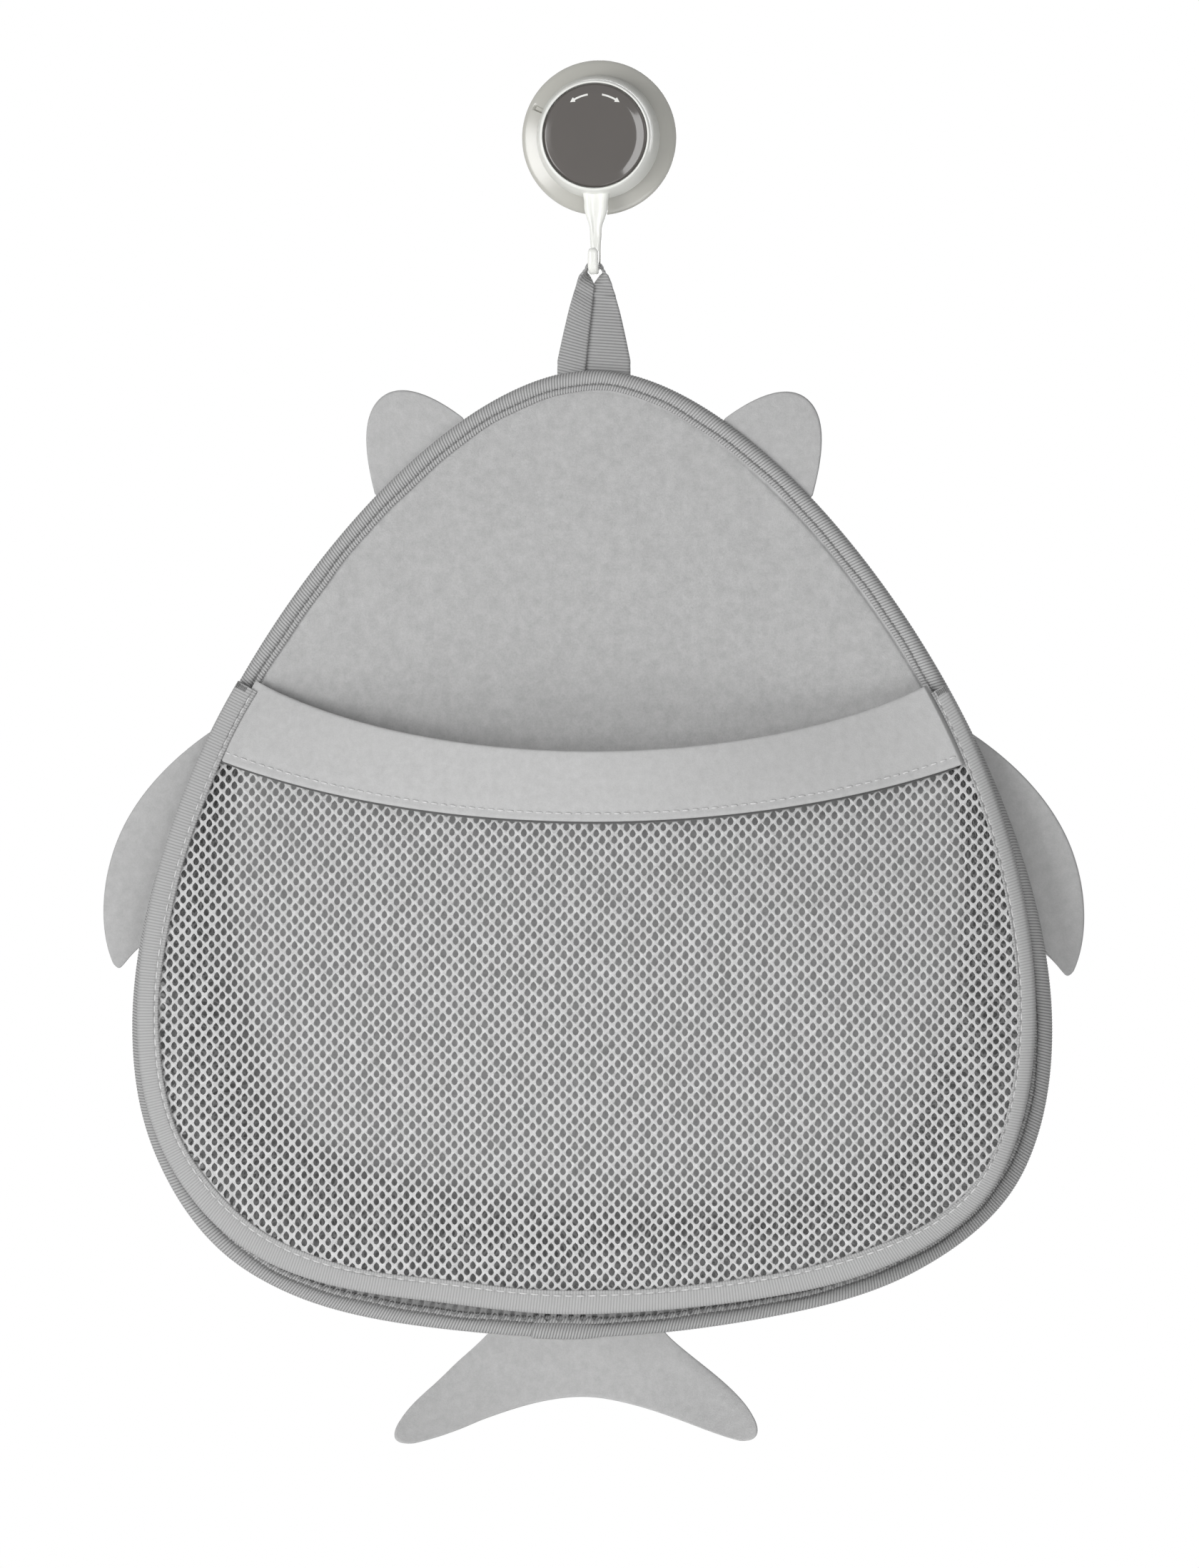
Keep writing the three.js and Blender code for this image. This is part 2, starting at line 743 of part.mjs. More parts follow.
// Knitted mesh front: staggered, upright six-sided gaps in lozenge cells, and a solid hem round them.
function pocketNet() {
  const [wide, tall] = [netPitch / 2, netRow];
  const lozenge = [[0, tall], [-wide, 0], [0, -tall], [wide, 0]];
  const opening = [[0, 0.7], [-0.54, 0.28], [-0.54, -0.28], [0, -0.7], [0.54, -0.28], [0.54, 0.28]]
    .map(([x, y]) => [x * wide, y * tall]);
  const faces = [
    [0, 5, 4], [0, 1, 5], [1, 6, 5], [1, 2, 6], [2, 7, 6],
    [2, 8, 7], [2, 3, 8], [3, 9, 8], [3, 0, 9], [0, 4, 9],
  ];
  const points = [];
  const front = [];
  const walls = [];
  const add = (list) => points.push(...list) - list.length;
  const around = (start, count) => {
    for (let k = 0; k < count; k++) {
      walls.push([start + k, start + ((k + 1) % count)]);
    }
  };
  const loops = netCells().map((centre) => {
    const corners = [...lozenge, ...opening].map(([x, y]) => new THREE.Vector2(centre.x + x, centre.y + y));
    const start = add(corners);
    faces.forEach((face) => front.push(face.map((corner) => start + corner)));
    around(start + lozenge.length, opening.length);
    return corners.slice(0, lozenge.length);
  });
  const hem = netOutline();
  const inner = patchEdge(loops);
  const hemStart = add(hem);
  add(inner);
  ringFaces(hem, inner).forEach((face) => front.push(face.map((corner) => hemStart + corner)));
  around(hemStart, hem.length);
  const count = points.length;
  const half = netThickness / 2;
  const index = front.flatMap(([a, b, c]) => [a, b, c, count + c, count + b, count + a]);
  const outlineTurn = (k) => (k >= hemStart ? 1 : -1);
  for (const [a, b] of walls) {
    const [from, to] = outlineTurn(a) > 0 ? [a, b] : [b, a];
    index.push(from, count + from, count + to, from, count + to, to);
  }
  const place = (depth) => points.map((point) => new THREE.Vector3(point.x, -depth, point.y));
  const geometry = new THREE.BufferGeometry().setFromPoints([...place(half), ...place(-half)]);
  geometry.setIndex(index);
  return drape(closed(geometry));
}

function pocketBand() {
  const back = netThickness / 2 + bandGap;
  const front = back + bandThickness;
  const section = [[0, front], [0.33, front], [0.67, front], [1, front], [1, back], [0.67, back]]
    .concat([[0.33, back], [0, back]])
    .map(([x, y]) => new THREE.Vector2(x, y));
  const steps = 44;
  const rings = [];
  for (let i = 0; i <= steps; i++) {
    const across = lerp(-1, 1, i / steps);
    rings.push(section.map(({ x, y }) => {
      const height = lerp(bandTop(across), bandLow(across), x);
      return new THREE.Vector3(across * bandEdgeAt(height), -y, height);
    }));
  }
  return drape(loft(rings, section));
}

// Tape folded over the rim of the pocket, from corner to corner.
function frontBinding() {
  const slot = frontHalf - frontTapeThickness;
  const section = [
    [-frontReach, frontHalf], [-1.4, frontHalf], [0, frontHalf * 0.5], [0, -frontHalf * 0.5],
    [-1.4, -frontHalf], [-frontReach, -frontHalf], [-frontReach, -slot], [-1.2, -slot],
    [-1.2, slot], [-frontReach, slot],
  ];
  const steps = 60;
  const rings = [];
  for (let i = 0; i <= steps; i++) {
    const share = lerp(cornerAt, 1 - cornerAt, i / steps);
    rings.push(section.map(([out, depth]) => {
      const point = rimPoint(share, -out);
      return new THREE.Vector3(point.x, -depth, point.y);
    }));
  }
  return drape(loft(rings, section.map(([out, depth]) => new THREE.Vector2(out, depth))));
}

// Mesh strip between the two tapes, folded inwards. It starts where the rim stands off far enough.
function pocketGusset() {
  const back = bindingFront + gap;
  const thick = gussetThickness;
  const crease = 0.2;
  const seam = tapeReach - 2.5;
  const needed = 2 * thick + 4 * crease;
  const frontAt = (share) => rimDepth(rimPoint(share, seam).y) - frontHalf - gap;
  let start = cornerAt;
  while (frontAt(start) - back < needed) {
    start += 0.002;
  }
  const steps = 56;
  const rings = [];
  let section = [];
  for (let i = 0; i <= steps; i++) {
    const share = lerp(start, 1 - start, i / steps);
    const down = (Math.min(share, 1 - share) - start) / (0.5 - start);
    const inset = rimInset(Math.min(share, 1 - share));
    const front = frontAt(share);
    const middle = (back + front) / 2;
    const tip = inset + seam + lerp(8, gussetFold, smoothstep(down, 0, 0.45));
    const corners = [
      [seam, back], [tip, middle - thick - crease], [tip, middle + thick + crease], [inset + seam, front],
      [inset + seam, front - thick], [tip - thick, middle + crease], [tip - thick, middle - crease],
      [seam, back + thick],
    ];
    section = corners.map(([drawnIn, depth]) => new THREE.Vector2(-drawnIn, depth));
    rings.push(corners.map(([drawnIn, depth]) => {
      const point = edgePoint(share, drawnIn);
      return new THREE.Vector3(point.x, -depth, point.y);
    }));
  }
  return loft(rings, section);
}

const organizer = new THREE.Group();
organizer.name = "bath_toy_organizer";

function place(name, geometry, color, roughness, metalness = 0) {
  const material = new THREE.MeshStandardMaterial({ color, roughness, metalness });
  const mesh = new THREE.Mesh(closed(geometry), material);
  mesh.name = name;
  mesh.geometry.computeVertexNormals();
  organizer.add(mesh);
}

const boardBack = panelBack + rearSkinThickness + gap;
const frontSkinBack = boardBack + boardThickness + gap;

place("suction_cup", suctionCup(), 0xb3b1aa, 0.35);
place("base_housing", baseHousing(), 0xdedfd9, 0.4);
place("cup_post", cupPost(), 0xc9c9c4, 0.4);
place("cross_pin", bar(pinRadius, pinLength, pinDepth), 0xb8b8ba, 0.3, 0.9);
place("hook_knob", hookKnob(), 0xf0f0ec, 0.25);
place("knob_cap", knobCap(), 0x6c6966, 0.2);
place("hanging_loop", hangingLoop(), 0x9a9a9c, 0.9);
place("rear_skin", skin(tapeFold + gap, panelBack, rearSkinThickness), 0xa8a8aa, 0.95);
place("stiffener_board", skin(tapeFold + 1, boardBack, boardThickness), 0xe6e4de, 0.8);
place("front_skin", skin(tapeFold + gap, frontSkinBack, frontSkinThickness), 0xb4b4b5, 0.95);
place("back_binding", backBinding(), 0x9c9c9e, 0.9);
place("left_ear", ear(-1), 0xb6b6b7, 0.95);
place("right_ear", ear(1), 0xb6b6b7, 0.95);
place("left_flipper", flipper(-1), 0xb8b8b9, 0.95);
place("right_flipper", flipper(1), 0xb8b8b9, 0.95);
place("tail_fin", tailFin(), 0xb8b8b9, 0.95);
place("pocket_net", pocketNet(), 0xc8c8c9, 0.9);
place("pocket_gusset", pocketGusset(), 0xc0c0c1, 0.9);
place("pocket_band", pocketBand(), 0xbdbdbe, 0.95);
place("front_binding", frontBinding(), 0xb2b2b4, 0.9);

export default organizer;
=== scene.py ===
import math

import bmesh
import bpy
import numpy as np
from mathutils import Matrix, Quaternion, Vector


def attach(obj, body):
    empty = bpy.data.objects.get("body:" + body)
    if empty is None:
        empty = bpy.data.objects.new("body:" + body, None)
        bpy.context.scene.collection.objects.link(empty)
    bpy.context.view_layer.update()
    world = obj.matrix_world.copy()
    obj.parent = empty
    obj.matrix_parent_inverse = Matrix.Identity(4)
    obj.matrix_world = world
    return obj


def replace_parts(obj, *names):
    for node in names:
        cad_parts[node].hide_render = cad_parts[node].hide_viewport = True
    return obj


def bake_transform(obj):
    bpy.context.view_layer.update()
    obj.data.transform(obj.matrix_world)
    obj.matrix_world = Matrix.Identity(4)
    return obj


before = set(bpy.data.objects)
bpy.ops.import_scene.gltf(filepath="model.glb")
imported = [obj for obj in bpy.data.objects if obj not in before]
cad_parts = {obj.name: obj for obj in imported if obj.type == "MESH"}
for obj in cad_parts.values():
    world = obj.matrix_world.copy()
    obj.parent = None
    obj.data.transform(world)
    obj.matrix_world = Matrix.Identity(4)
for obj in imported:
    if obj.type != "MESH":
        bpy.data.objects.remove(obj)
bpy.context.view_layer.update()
mm = 0.001
fullTurn = 2 * math.pi
chance = np.random.default_rng(7)

# Sizes below are in millimetres, as on the pattern, and become metres in inMetres.
# x runs to the right, z up, and a depth is measured from the wall towards the viewer, so y = -depth.


def smooth(value, low, high):
    t = np.clip((np.asarray(value, float) - low) / (high - low), 0, 1)
    return t * t * (3 - 2 * t)


# 1 between the two middle values, eased to 0 towards the outer ones
def window(value, start, full, lessen, end):
    return smooth(value, start, full) * smooth(value, end, lessen)


def mix(a, b, t):
    return a + (b - a) * t


def unit(vectors):
    return vectors / np.linalg.norm(vectors, axis=-1)[..., None]


# Length walked along a row of points
def walked(points):
    return np.concatenate([[0], np.cumsum(np.linalg.norm(np.diff(points, axis=0), axis=1))])


# The bag has settled: its lower part hangs deeper at the left than at the right,
# and the tail is drawn to the left.
settling = {
    "heights": (-395, -440), "drop": 3.8, "dropAcross": (-40, -155), "rise": 3.3, "riseAcross": (-15, 85),
    "tail": -2.9, "tailHeights": (-440, -466),
}


def inMetres(x, depth, z):
    x, depth, z = np.broadcast_arrays(x, depth, z)
    rise = settling["rise"] * smooth(x, *settling["riseAcross"])
    drop = settling["drop"] * smooth(x, *settling["dropAcross"])
    z = z + (rise - drop) * smooth(z, *settling["heights"])
    x = x + settling["tail"] * smooth(z, *settling["tailHeights"])
    return np.stack([x, -depth, z], -1) * mm


# One grey level, or red, green and blue, as a picture stores them
def tone(shade):
    shares = [value / 255 for value in np.broadcast_to(shade, 3).tolist()]
    return (*(c / 12.92 if c <= 0.04045 else ((c + 0.055) / 1.055) ** 2.4 for c in shares), 1)


# A number or another node's output goes into an input.
def feed(socket, value):
    if isinstance(value, (int, float)):
        socket.default_value = value
    else:
        socket.id_data.links.new(value, socket)


# At least one of the values is a node's output, which knows its own tree.
def mathNode(operation, *values):
    tree = next(value.id_data for value in values if not isinstance(value, (int, float)))
    node = tree.nodes.new("ShaderNodeMath")
    node.operation = operation
    for socket, value in zip(node.inputs, values):
        feed(socket, value)
    return node.outputs[0]


def times(first, second):
    return mathNode("MULTIPLY", first, second)


def plus(first, second):
    return mathNode("ADD", first, second)


def minus(first, second):
    return mathNode("SUBTRACT", first, second)


# Picture and light

picture = {
    "middle": (0.003, -0.0185, -0.2501),  # the point at the middle of the picture
    "height": 0.6053,  # what the picture takes in there, from top to bottom
    "distance": 3.8,
    "right": 5.0,  # degrees off straight on
    "above": 1.0,
    "roll": 0.3,
    "sensor": 36,
}

lamps = {
    "keyLamp": {"at": (-1.25, -1.7, -0.25), "size": (1.1, 1.1), "watts": 25.3},
    "lowLamp": {"at": (0.32, -0.75, -0.85), "size": (0.6, 0.6), "watts": 2.1},
    "glintLamp": {"at": (0.142, -0.82, -0.03), "size": (0.13, 0.36), "watts": 1.0},
    "rearLamp": {"at": (0.4, 2.0, 0.5), "size": (1.6, 1.6), "watts": 26},
}

room = {"ambient": 0.28, "floorHeight": -1.2, "floorRadius": 2.4, "floorTone": 246, "floorGlow": 0.7}


def placeCamera():
    lens = bpy.data.cameras.new("camera")
    camera = bpy.data.objects.new("camera", lens)
    bpy.context.collection.objects.link(camera)
    right, above = math.radians(picture["right"]), math.radians(picture["above"])
    level = math.cos(above)
    back = Vector((math.sin(right) * level, -math.cos(right) * level, math.sin(above)))
    camera.location = Vector(picture["middle"]) + back * picture["distance"]
    camera.rotation_mode = "QUATERNION"
    roll = Quaternion((0, 0, 1), math.radians(picture["roll"]))
    camera.rotation_quaternion = (-back).to_track_quat("-Z", "Y") @ roll
    lens.sensor_width = picture["sensor"]
    lens.lens = picture["sensor"] * picture["distance"] / picture["height"]
    bpy.context.scene.camera = camera


def placeLamps():
    middle = Vector(picture["middle"])
    for name, lamp in lamps.items():
        data = bpy.data.lights.new(name, "AREA")
        data.shape = "RECTANGLE"
        data.size, data.size_y = lamp["size"]
        data.energy = lamp["watts"]
        made = bpy.data.objects.new(name, data)
        made.location = lamp["at"]
        made.visible_camera = False
        made.rotation_mode = "QUATERNION"
        made.rotation_quaternion = (middle - made.location).to_track_quat("-Z", "Y")
        bpy.context.collection.objects.link(made)


# 1 for rays that should meet a plain white background, 0 for the rays that light the object
def seenAsWhite(tree):
    path = tree.nodes.new("ShaderNodeLightPath").outputs
    direct = mathNode("MAXIMUM", path["Is Camera Ray"], path["Is Glossy Ray"])
    return mathNode("MAXIMUM", direct, path["Is Transmission Ray"])


def mixShaders(tree, share, first, second, output):
    choose = tree.nodes.new("ShaderNodeMixShader")
    for socket, value in zip(choose.inputs, (share, first, second)):
        feed(socket, value)
    feed(tree.nodes[output].inputs["Surface"], choose.outputs[0])


def paintWorld():
    world = bpy.data.worlds.new("studio")
    bpy.context.scene.world = world
    world.use_nodes = True
    tree = world.node_tree
    ambient = tree.nodes["Background"]
    ambient.inputs["Strength"].default_value = room["ambient"]
    white = tree.nodes.new("ShaderNodeBackground")
    for light in (ambient, white):
        light.inputs["Color"].default_value = (1, 1, 1, 1)
    mixShaders(tree, seenAsWhite(tree), ambient.outputs[0], white.outputs[0], "World Output")


def layFloor():
    mesh = bpy.data.meshes.new("floor")
    form = bmesh.new()
    bmesh.ops.create_circle(form, cap_ends=True, segments=96, radius=room["floorRadius"])
    form.to_mesh(mesh)
    form.free()
    floor = bpy.data.objects.new("floor", mesh)
    floor.location = (0, 0, room["floorHeight"])
    bpy.context.collection.objects.link(floor)
    material = bpy.data.materials.new("paleFloor")
    material.use_nodes = True
    tree = material.node_tree
    tree.nodes.remove(tree.nodes["Principled BSDF"])
    matt = tree.nodes.new("ShaderNodeBsdfDiffuse")
    matt.inputs["Color"].default_value = tone(room["floorTone"])
    glow = tree.nodes.new("ShaderNodeEmission")
    share = times(seenAsWhite(tree), room["floorGlow"])
    mixShaders(tree, share, matt.outputs[0], glow.outputs[0], "Material Output")
    mesh.materials.append(material)


bpy.context.scene.view_settings.view_transform = "Standard"
placeCamera()
placeLamps()
paintWorld()
layFloor()
print("stage: camera, lamps and floor")


# Finishes


def newGroup(name, inputs, outputs):
    group = bpy.data.node_groups.new(name, "ShaderNodeTree")
    kinds = {socket: "NodeSocketFloat" for socket in (*inputs, *outputs)} | {"Color": "NodeSocketColor"}
    for socket, value in inputs.items():
        group.interface.new_socket(socket, in_out="INPUT", socket_type=kinds[socket]).default_value = value
    for socket in outputs:
        group.interface.new_socket(socket, in_out="OUTPUT", socket_type=kinds[socket])
    return group, group.nodes.new("NodeGroupInput").outputs, group.nodes.new("NodeGroupOutput").inputs


def noiseNode(tree, scale, detail=3, roughness=0.6):
    place = tree.nodes.new("ShaderNodeTexCoord")
    noise = tree.nodes.new("ShaderNodeTexNoise")
    noise.inputs["Detail"].default_value = detail
    noise.inputs["Roughness"].default_value = roughness
    feed(noise.inputs["Vector"], place.outputs["Object"])
    feed(noise.inputs["Scale"], scale)
    return noise.outputs["Fac"]


def partsOf(vector):
    parts = vector.id_data.nodes.new("ShaderNodeSeparateXYZ")
    feed(parts.inputs[0], vector)
    return parts.outputs


def scaledColor(color, factor):
    node = color.id_data.nodes.new("ShaderNodeVectorMath")
    node.operation = "SCALE"
    feed(node.inputs[0], color)
    feed(node.inputs["Scale"], factor)
    return node.outputs[0]


# Where the painted shade on the panel behind the mesh begins, behind the mouth band, and how far it takes to
# show, in metres
paintedShadeBehindMesh = {"from": -0.238, "over": 0.024}


napLook = {"broadScale": 0.2, "roughLeast": 0.8, "roughSwing": 0.2}


# Short brushed nap: fine speckle over a slow, faint unevenness, and a painted shade that darkens the panel
# below the band line, behind the mesh
def buildNap():
    group, given, made = newGroup(
        "brushedNap",
        {"Color": (0.5, 0.5, 0.5, 1), "Scale": 1400, "Contrast": 0.3, "PaintedShadeBehindMesh": 0.0},
        ("Color", "Height", "Roughness"),
    )
    fine = noiseNode(group, given["Scale"], 4, 0.7)
    broad = noiseNode(group, times(given["Scale"], napLook["broadScale"]), 3)
    both = plus(times(fine, 0.5), times(broad, 0.5))
    swing = times(minus(both, 0.5), given["Contrast"])
    # painted shade: the panel is darkened below the band line, where the mesh shades it
    height = partsOf(group.nodes.new("ShaderNodeTexCoord").outputs["Object"])[2]
    below = mathNode("DIVIDE", minus(paintedShadeBehindMesh["from"], height), paintedShadeBehindMesh["over"])
    below = mathNode("MINIMUM", mathNode("MAXIMUM", below, 0.0), 1.0)
    level = minus(plus(swing, 1.0), times(below, given["PaintedShadeBehindMesh"]))
    feed(made["Color"], scaledColor(given["Color"], level))
    feed(made["Height"], fine)
    feed(made["Roughness"], plus(times(fine, napLook["roughSwing"]), napLook["roughLeast"]))
    return group


ribLook = {"valleyDepthAndShade": 0.7, "valleyPower": 2.2, "grain": 0.3, "grainScale": 2600, "middle": 0.62}


# Cross ribs of a woven tape, drawn along its own length map, with painted shade darkening the valleys between
# the ribs
def buildRibs():
    group, given, made = newGroup(
        "tapeRibs",
        {"Color": (0.5, 0.5, 0.5, 1), "Pitch": 0.0014, "Slant": 0.0, "Contrast": 0.3},
        ("Color", "Height"),
    )
    lengthMap = group.nodes.new("ShaderNodeUVMap")
    lengthMap.uv_map = "lengthMap"
    parts = partsOf(lengthMap.outputs[0])
    along = plus(parts[0], times(parts[1], given["Slant"]))
    turn = times(mathNode("DIVIDE", along, given["Pitch"]), fullTurn)
    wave = plus(times(mathNode("SINE", turn), 0.5), 0.5)
    valleyDepthAndShade = mathNode("POWER", minus(1.0, wave), ribLook["valleyPower"])
    grain = times(noiseNode(group, ribLook["grainScale"], 3, 0.7), ribLook["grain"])
    ridge = minus(plus(grain, 1 - ribLook["grain"]), times(valleyDepthAndShade, ribLook["valleyDepthAndShade"]))
    # the colour follows the rib relief: painted shade in the valleys
    swing = times(minus(ridge, ribLook["middle"]), given["Contrast"])
    feed(made["Color"], scaledColor(given["Color"], plus(swing, 1.0)))
    feed(made["Height"], ridge)
    return group


skinLook = {"tint": 0.08, "glossLeast": 0.75, "glossSwing": 0.5, "grain": 0.3, "grainScale": 3000}


# Moulded plastic: faint flow marks in the colour and the gloss
def buildMoulding():
    group, given, made = newGroup(
        "mouldedSkin",
        {"Color": (0.8, 0.8, 0.8, 1), "Roughness": 0.3, "Scale": 160},
        ("Color", "Roughness", "Height"),
    )
    cloud = noiseNode(group, given["Scale"], 3, 0.55)
    grain = noiseNode(group, skinLook["grainScale"], 2, 0.6)
    shift = plus(times(minus(cloud, 0.5), skinLook["tint"]), 1.0)
    spread = plus(times(cloud, skinLook["glossSwing"]), skinLook["glossLeast"])
    height = plus(times(cloud, 1 - skinLook["grain"]), times(grain, skinLook["grain"]))
    feed(made["Color"], scaledColor(given["Color"], shift))
    feed(made["Roughness"], times(given["Roughness"], spread))
    feed(made["Height"], height)
    return group


effects = {"brushedNap": buildNap(), "tapeRibs": buildRibs(), "mouldedSkin": buildMoulding()}


# One material: an effect group with its values, a bump from the group's height, and plain shader values
def finish(name, effect, shade, bump, values, shaderValues):
    material = bpy.data.materials.new(name)
    material.use_nodes = True
    tree = material.node_tree
    shader = tree.nodes["Principled BSDF"]
    group = tree.nodes.new("ShaderNodeGroup")
    group.node_tree = effects[effect]
    group.inputs["Color"].default_value = tone(shade)
    for socket, value in values.items():
        group.inputs[socket].default_value = value
    feed(shader.inputs["Base Color"], group.outputs["Color"])
    if "Roughness" in group.outputs:
        feed(shader.inputs["Roughness"], group.outputs["Roughness"])
    relief = tree.nodes.new("ShaderNodeBump")
    relief.inputs["Distance"].default_value = bump * mm
    relief.inputs["Strength"].default_value = 1.0
    feed(relief.inputs["Height"], group.outputs["Height"])
    feed(shader.inputs["Normal"], relief.outputs["Normal"])
    for socket, value in shaderValues.items():
        shader.inputs[socket].default_value = value
    return material


nap = {"Sheen Weight": 0.12, "Sheen Roughness": 0.5, "Specular IOR Level": 0.15}
woven = {"Roughness": 0.85, "Specular IOR Level": 0.2, "Sheen Weight": 0.08}
moulded = {"IOR": 1.5}
vinyl = {
    "Subsurface Weight": 0.05, "Subsurface Radius": (0.004, 0.004, 0.0038), "Subsurface Scale": 0.3,
    "IOR": 1.5, "Specular IOR Level": 0.85,
}
tapePitch = 1.17  # from rib to rib, on both tapes and the loop

# The effect, the shade, the bump in millimetres, and the values of effect and shader
finishTable = {
    # the panel felt carries a painted shade behind the mesh
    "panelFelt": ("brushedNap", 179, 0.16, {"Scale": 1500, "Contrast": 0.8, "PaintedShadeBehindMesh": 0.15}, nap),
    "bandFelt": ("brushedNap", 188, 0.1, {"Scale": 1700, "Contrast": 0.5}, nap),
    "flapFelt": ("brushedNap", 181, 0.12, {"Scale": 1600, "Contrast": 0.6}, nap),
    # the hem's dark tone is painted shade below the band
    "hemFeltPaintedShade": ("brushedNap", 96, 0.08, {"Scale": 1700, "Contrast": 0.3}, nap),
    "rearFelt": ("brushedNap", 168, 0.12, {"Scale": 1300, "Contrast": 0.34}, nap),
    "edgeTape": ("tapeRibs", 171, 0.2, {"Pitch": tapePitch * mm, "Slant": -0.2, "Contrast": 0.8}, woven),
    "rimTape": ("tapeRibs", 172, 0.1, {"Pitch": tapePitch * mm, "Slant": 0.05, "Contrast": 0.34}, woven),
    "loopRibbon": ("tapeRibs", 160, 0.16, {"Pitch": tapePitch * mm, "Slant": 0.0, "Contrast": 0.6}, woven),
    "netYarn": ("brushedNap", 206, 0.3, {"Scale": 1500, "Contrast": 1.2}, nap),
    # the gusset is the same yarn as the net, darker here as painted shade inside the folded sides
    "gussetYarnPaintedShade": ("brushedNap", 144, 0.1, {"Scale": 2600, "Contrast": 0.36}, nap),
    "paleThread": ("brushedNap", 210, 0.1, {"Scale": 4000, "Contrast": 1.2}, nap),
    "greyThread": ("brushedNap", 128, 0.05, {"Scale": 4000, "Contrast": 0.4}, nap),
    "cupVinyl": ("mouldedSkin", (182, 181, 174), 0.03, {"Roughness": 0.24, "Scale": 60}, vinyl),
    "whitePlastic": ("mouldedSkin", (238, 239, 234), 0.015, {"Roughness": 0.22, "Scale": 90}, moulded),
    "innerPlastic": ("mouldedSkin", (222, 223, 217), 0.03, {"Roughness": 0.4, "Scale": 90}, moulded),
    "capPlastic": (
        "mouldedSkin", (91, 87, 84), 0.002, {"Roughness": 0.08, "Scale": 50},
        {"IOR": 1.52, "Specular IOR Level": 0.45},
    ),
    "markInk": ("mouldedSkin", (236, 236, 232), 0.01, {"Roughness": 0.5, "Scale": 300}, {"IOR": 1.45}),
    "pinSteel": ("mouldedSkin", (184, 184, 186), 0.01, {"Roughness": 0.3, "Scale": 400}, {"Metallic": 0.9}),
    "greyBoard": (
        "brushedNap", (226, 224, 218), 0.08, {"Scale": 900, "Contrast": 0.3}, {"Specular IOR Level": 0.2},
    ),
}
finishes = {name: finish(name, *row) for name, row in finishTable.items()}
print("stage: finishes,", len(finishes))


# Mesh building

crispAngle = 35  # of the hard plastic edges, in degrees


def makePiece(name, points, faces, material, uv=None, sharp=None):
    points = np.asarray(points, float)
    faces = [np.asarray(f, int) for f in faces if len(f)]
    volume = 0.0
    for f in faces:
        for k in range(1, f.shape[1] - 1):
            volume += np.einsum("ij,ij->", points[f[:, 0]], np.cross(points[f[:, k]], points[f[:, k + 1]]))
    if volume < 0:
        faces = [f[:, ::-1] for f in faces]
    corners = np.concatenate([f.ravel() for f in faces])
    sizes = np.concatenate([np.full(len(f), f.shape[1]) for f in faces])
    mesh = bpy.data.meshes.new(name)
    mesh.vertices.add(len(points))
    mesh.vertices.foreach_set("co", points.ravel())
    mesh.loops.add(len(corners))
    mesh.loops.foreach_set("vertex_index", corners)
    mesh.polygons.add(len(sizes))
    mesh.polygons.foreach_set("loop_start", np.concatenate([[0], np.cumsum(sizes)[:-1]]))
    mesh.polygons.foreach_set("use_smooth", np.ones(len(sizes), bool))
    mesh.update(calc_edges=True)
    if uv is not None:
        layer = mesh.uv_layers.new(name="lengthMap")
        layer.uv.foreach_set("vector", np.asarray(uv, float)[corners].ravel())
    mesh.materials.append(finishes[material])
    piece = bpy.data.objects.new(name, mesh)
    bpy.context.collection.objects.link(piece)
    weld(piece, sharp)
    return piece


# Points that meet become one, and edges sharper than the given angle stay crisp.
def weld(piece, sharp):
    form = bmesh.new()
    form.from_mesh(piece.data)
    bmesh.ops.remove_doubles(form, verts=form.verts, dist=1e-6)
    form.to_mesh(piece.data)
    form.free()
    if sharp:
        piece.data.set_sharp_from_angle(angle=math.radians(sharp))


def gridFaces(rows, columns, wrapRows, wrapColumns):
    lastRow, lastColumn = rows if wrapRows else rows - 1, columns if wrapColumns else columns - 1
    r, c = np.meshgrid(np.arange(lastRow), np.arange(lastColumn), indexing="ij")
    nextRow, nextColumn = (r + 1) % rows * columns, (c + 1) % columns
    corners = [r * columns + c, r * columns + nextColumn, nextRow + nextColumn, nextRow + c]
    return np.stack(corners, -1).reshape(-1, 4)


# A row of equal closed sections, skinned and capped at both ends
def loftPiece(name, grid, material, uv=None, sharp=None):
    rows, columns = grid.shape[:2]
    first = np.arange(columns)
    faces = [gridFaces(rows, columns, False, True), first[None, ::-1], (first + (rows - 1) * columns)[None]]
    flatUv = None if uv is None else uv.reshape(-1, 2)
    return makePiece(name, grid.reshape(-1, 3), faces, material, flatUv, sharp)


# From a to c, drawn towards b
def shortCurve(a, b, c, count):
    t = np.linspace(0, 1, count)[:, None]
    return a * (1 - t) ** 2 + 2 * b * t * (1 - t) + c * t**2


# Corners of a profile eased with short curves. Points on the axis stay.
def eased(corners, radius, steps=4):
    corners = np.asarray(corners, float)
    made = []
    for i, corner in enumerate(corners):
        if corner[0] == 0:
            made.append(corner[None])
            continue
        ends = []
        for other in (corners[i - 1], corners[(i + 1) % len(corners)]):
            share = min(0.45, radius / max(np.linalg.norm(other - corner), 1e-6))
            ends.append(corner + (other - corner) * share)
        made.append(shortCurve(ends[0], corner, ends[1], steps + 1))
    return np.concatenate(made)


# Points at an angle and a radius about the hook's axis
def aboutAxis(angle, radius, depth):
    return inMetres(np.cos(angle) * radius, depth, np.sin(angle) * radius)


# Profile of (radius, depth) points turned about the hook's axis
def turnedGrid(profile, segments):
    angle = np.arange(segments) * fullTurn / segments
    return aboutAxis(angle[:, None], profile[:, 0], profile[:, 1])


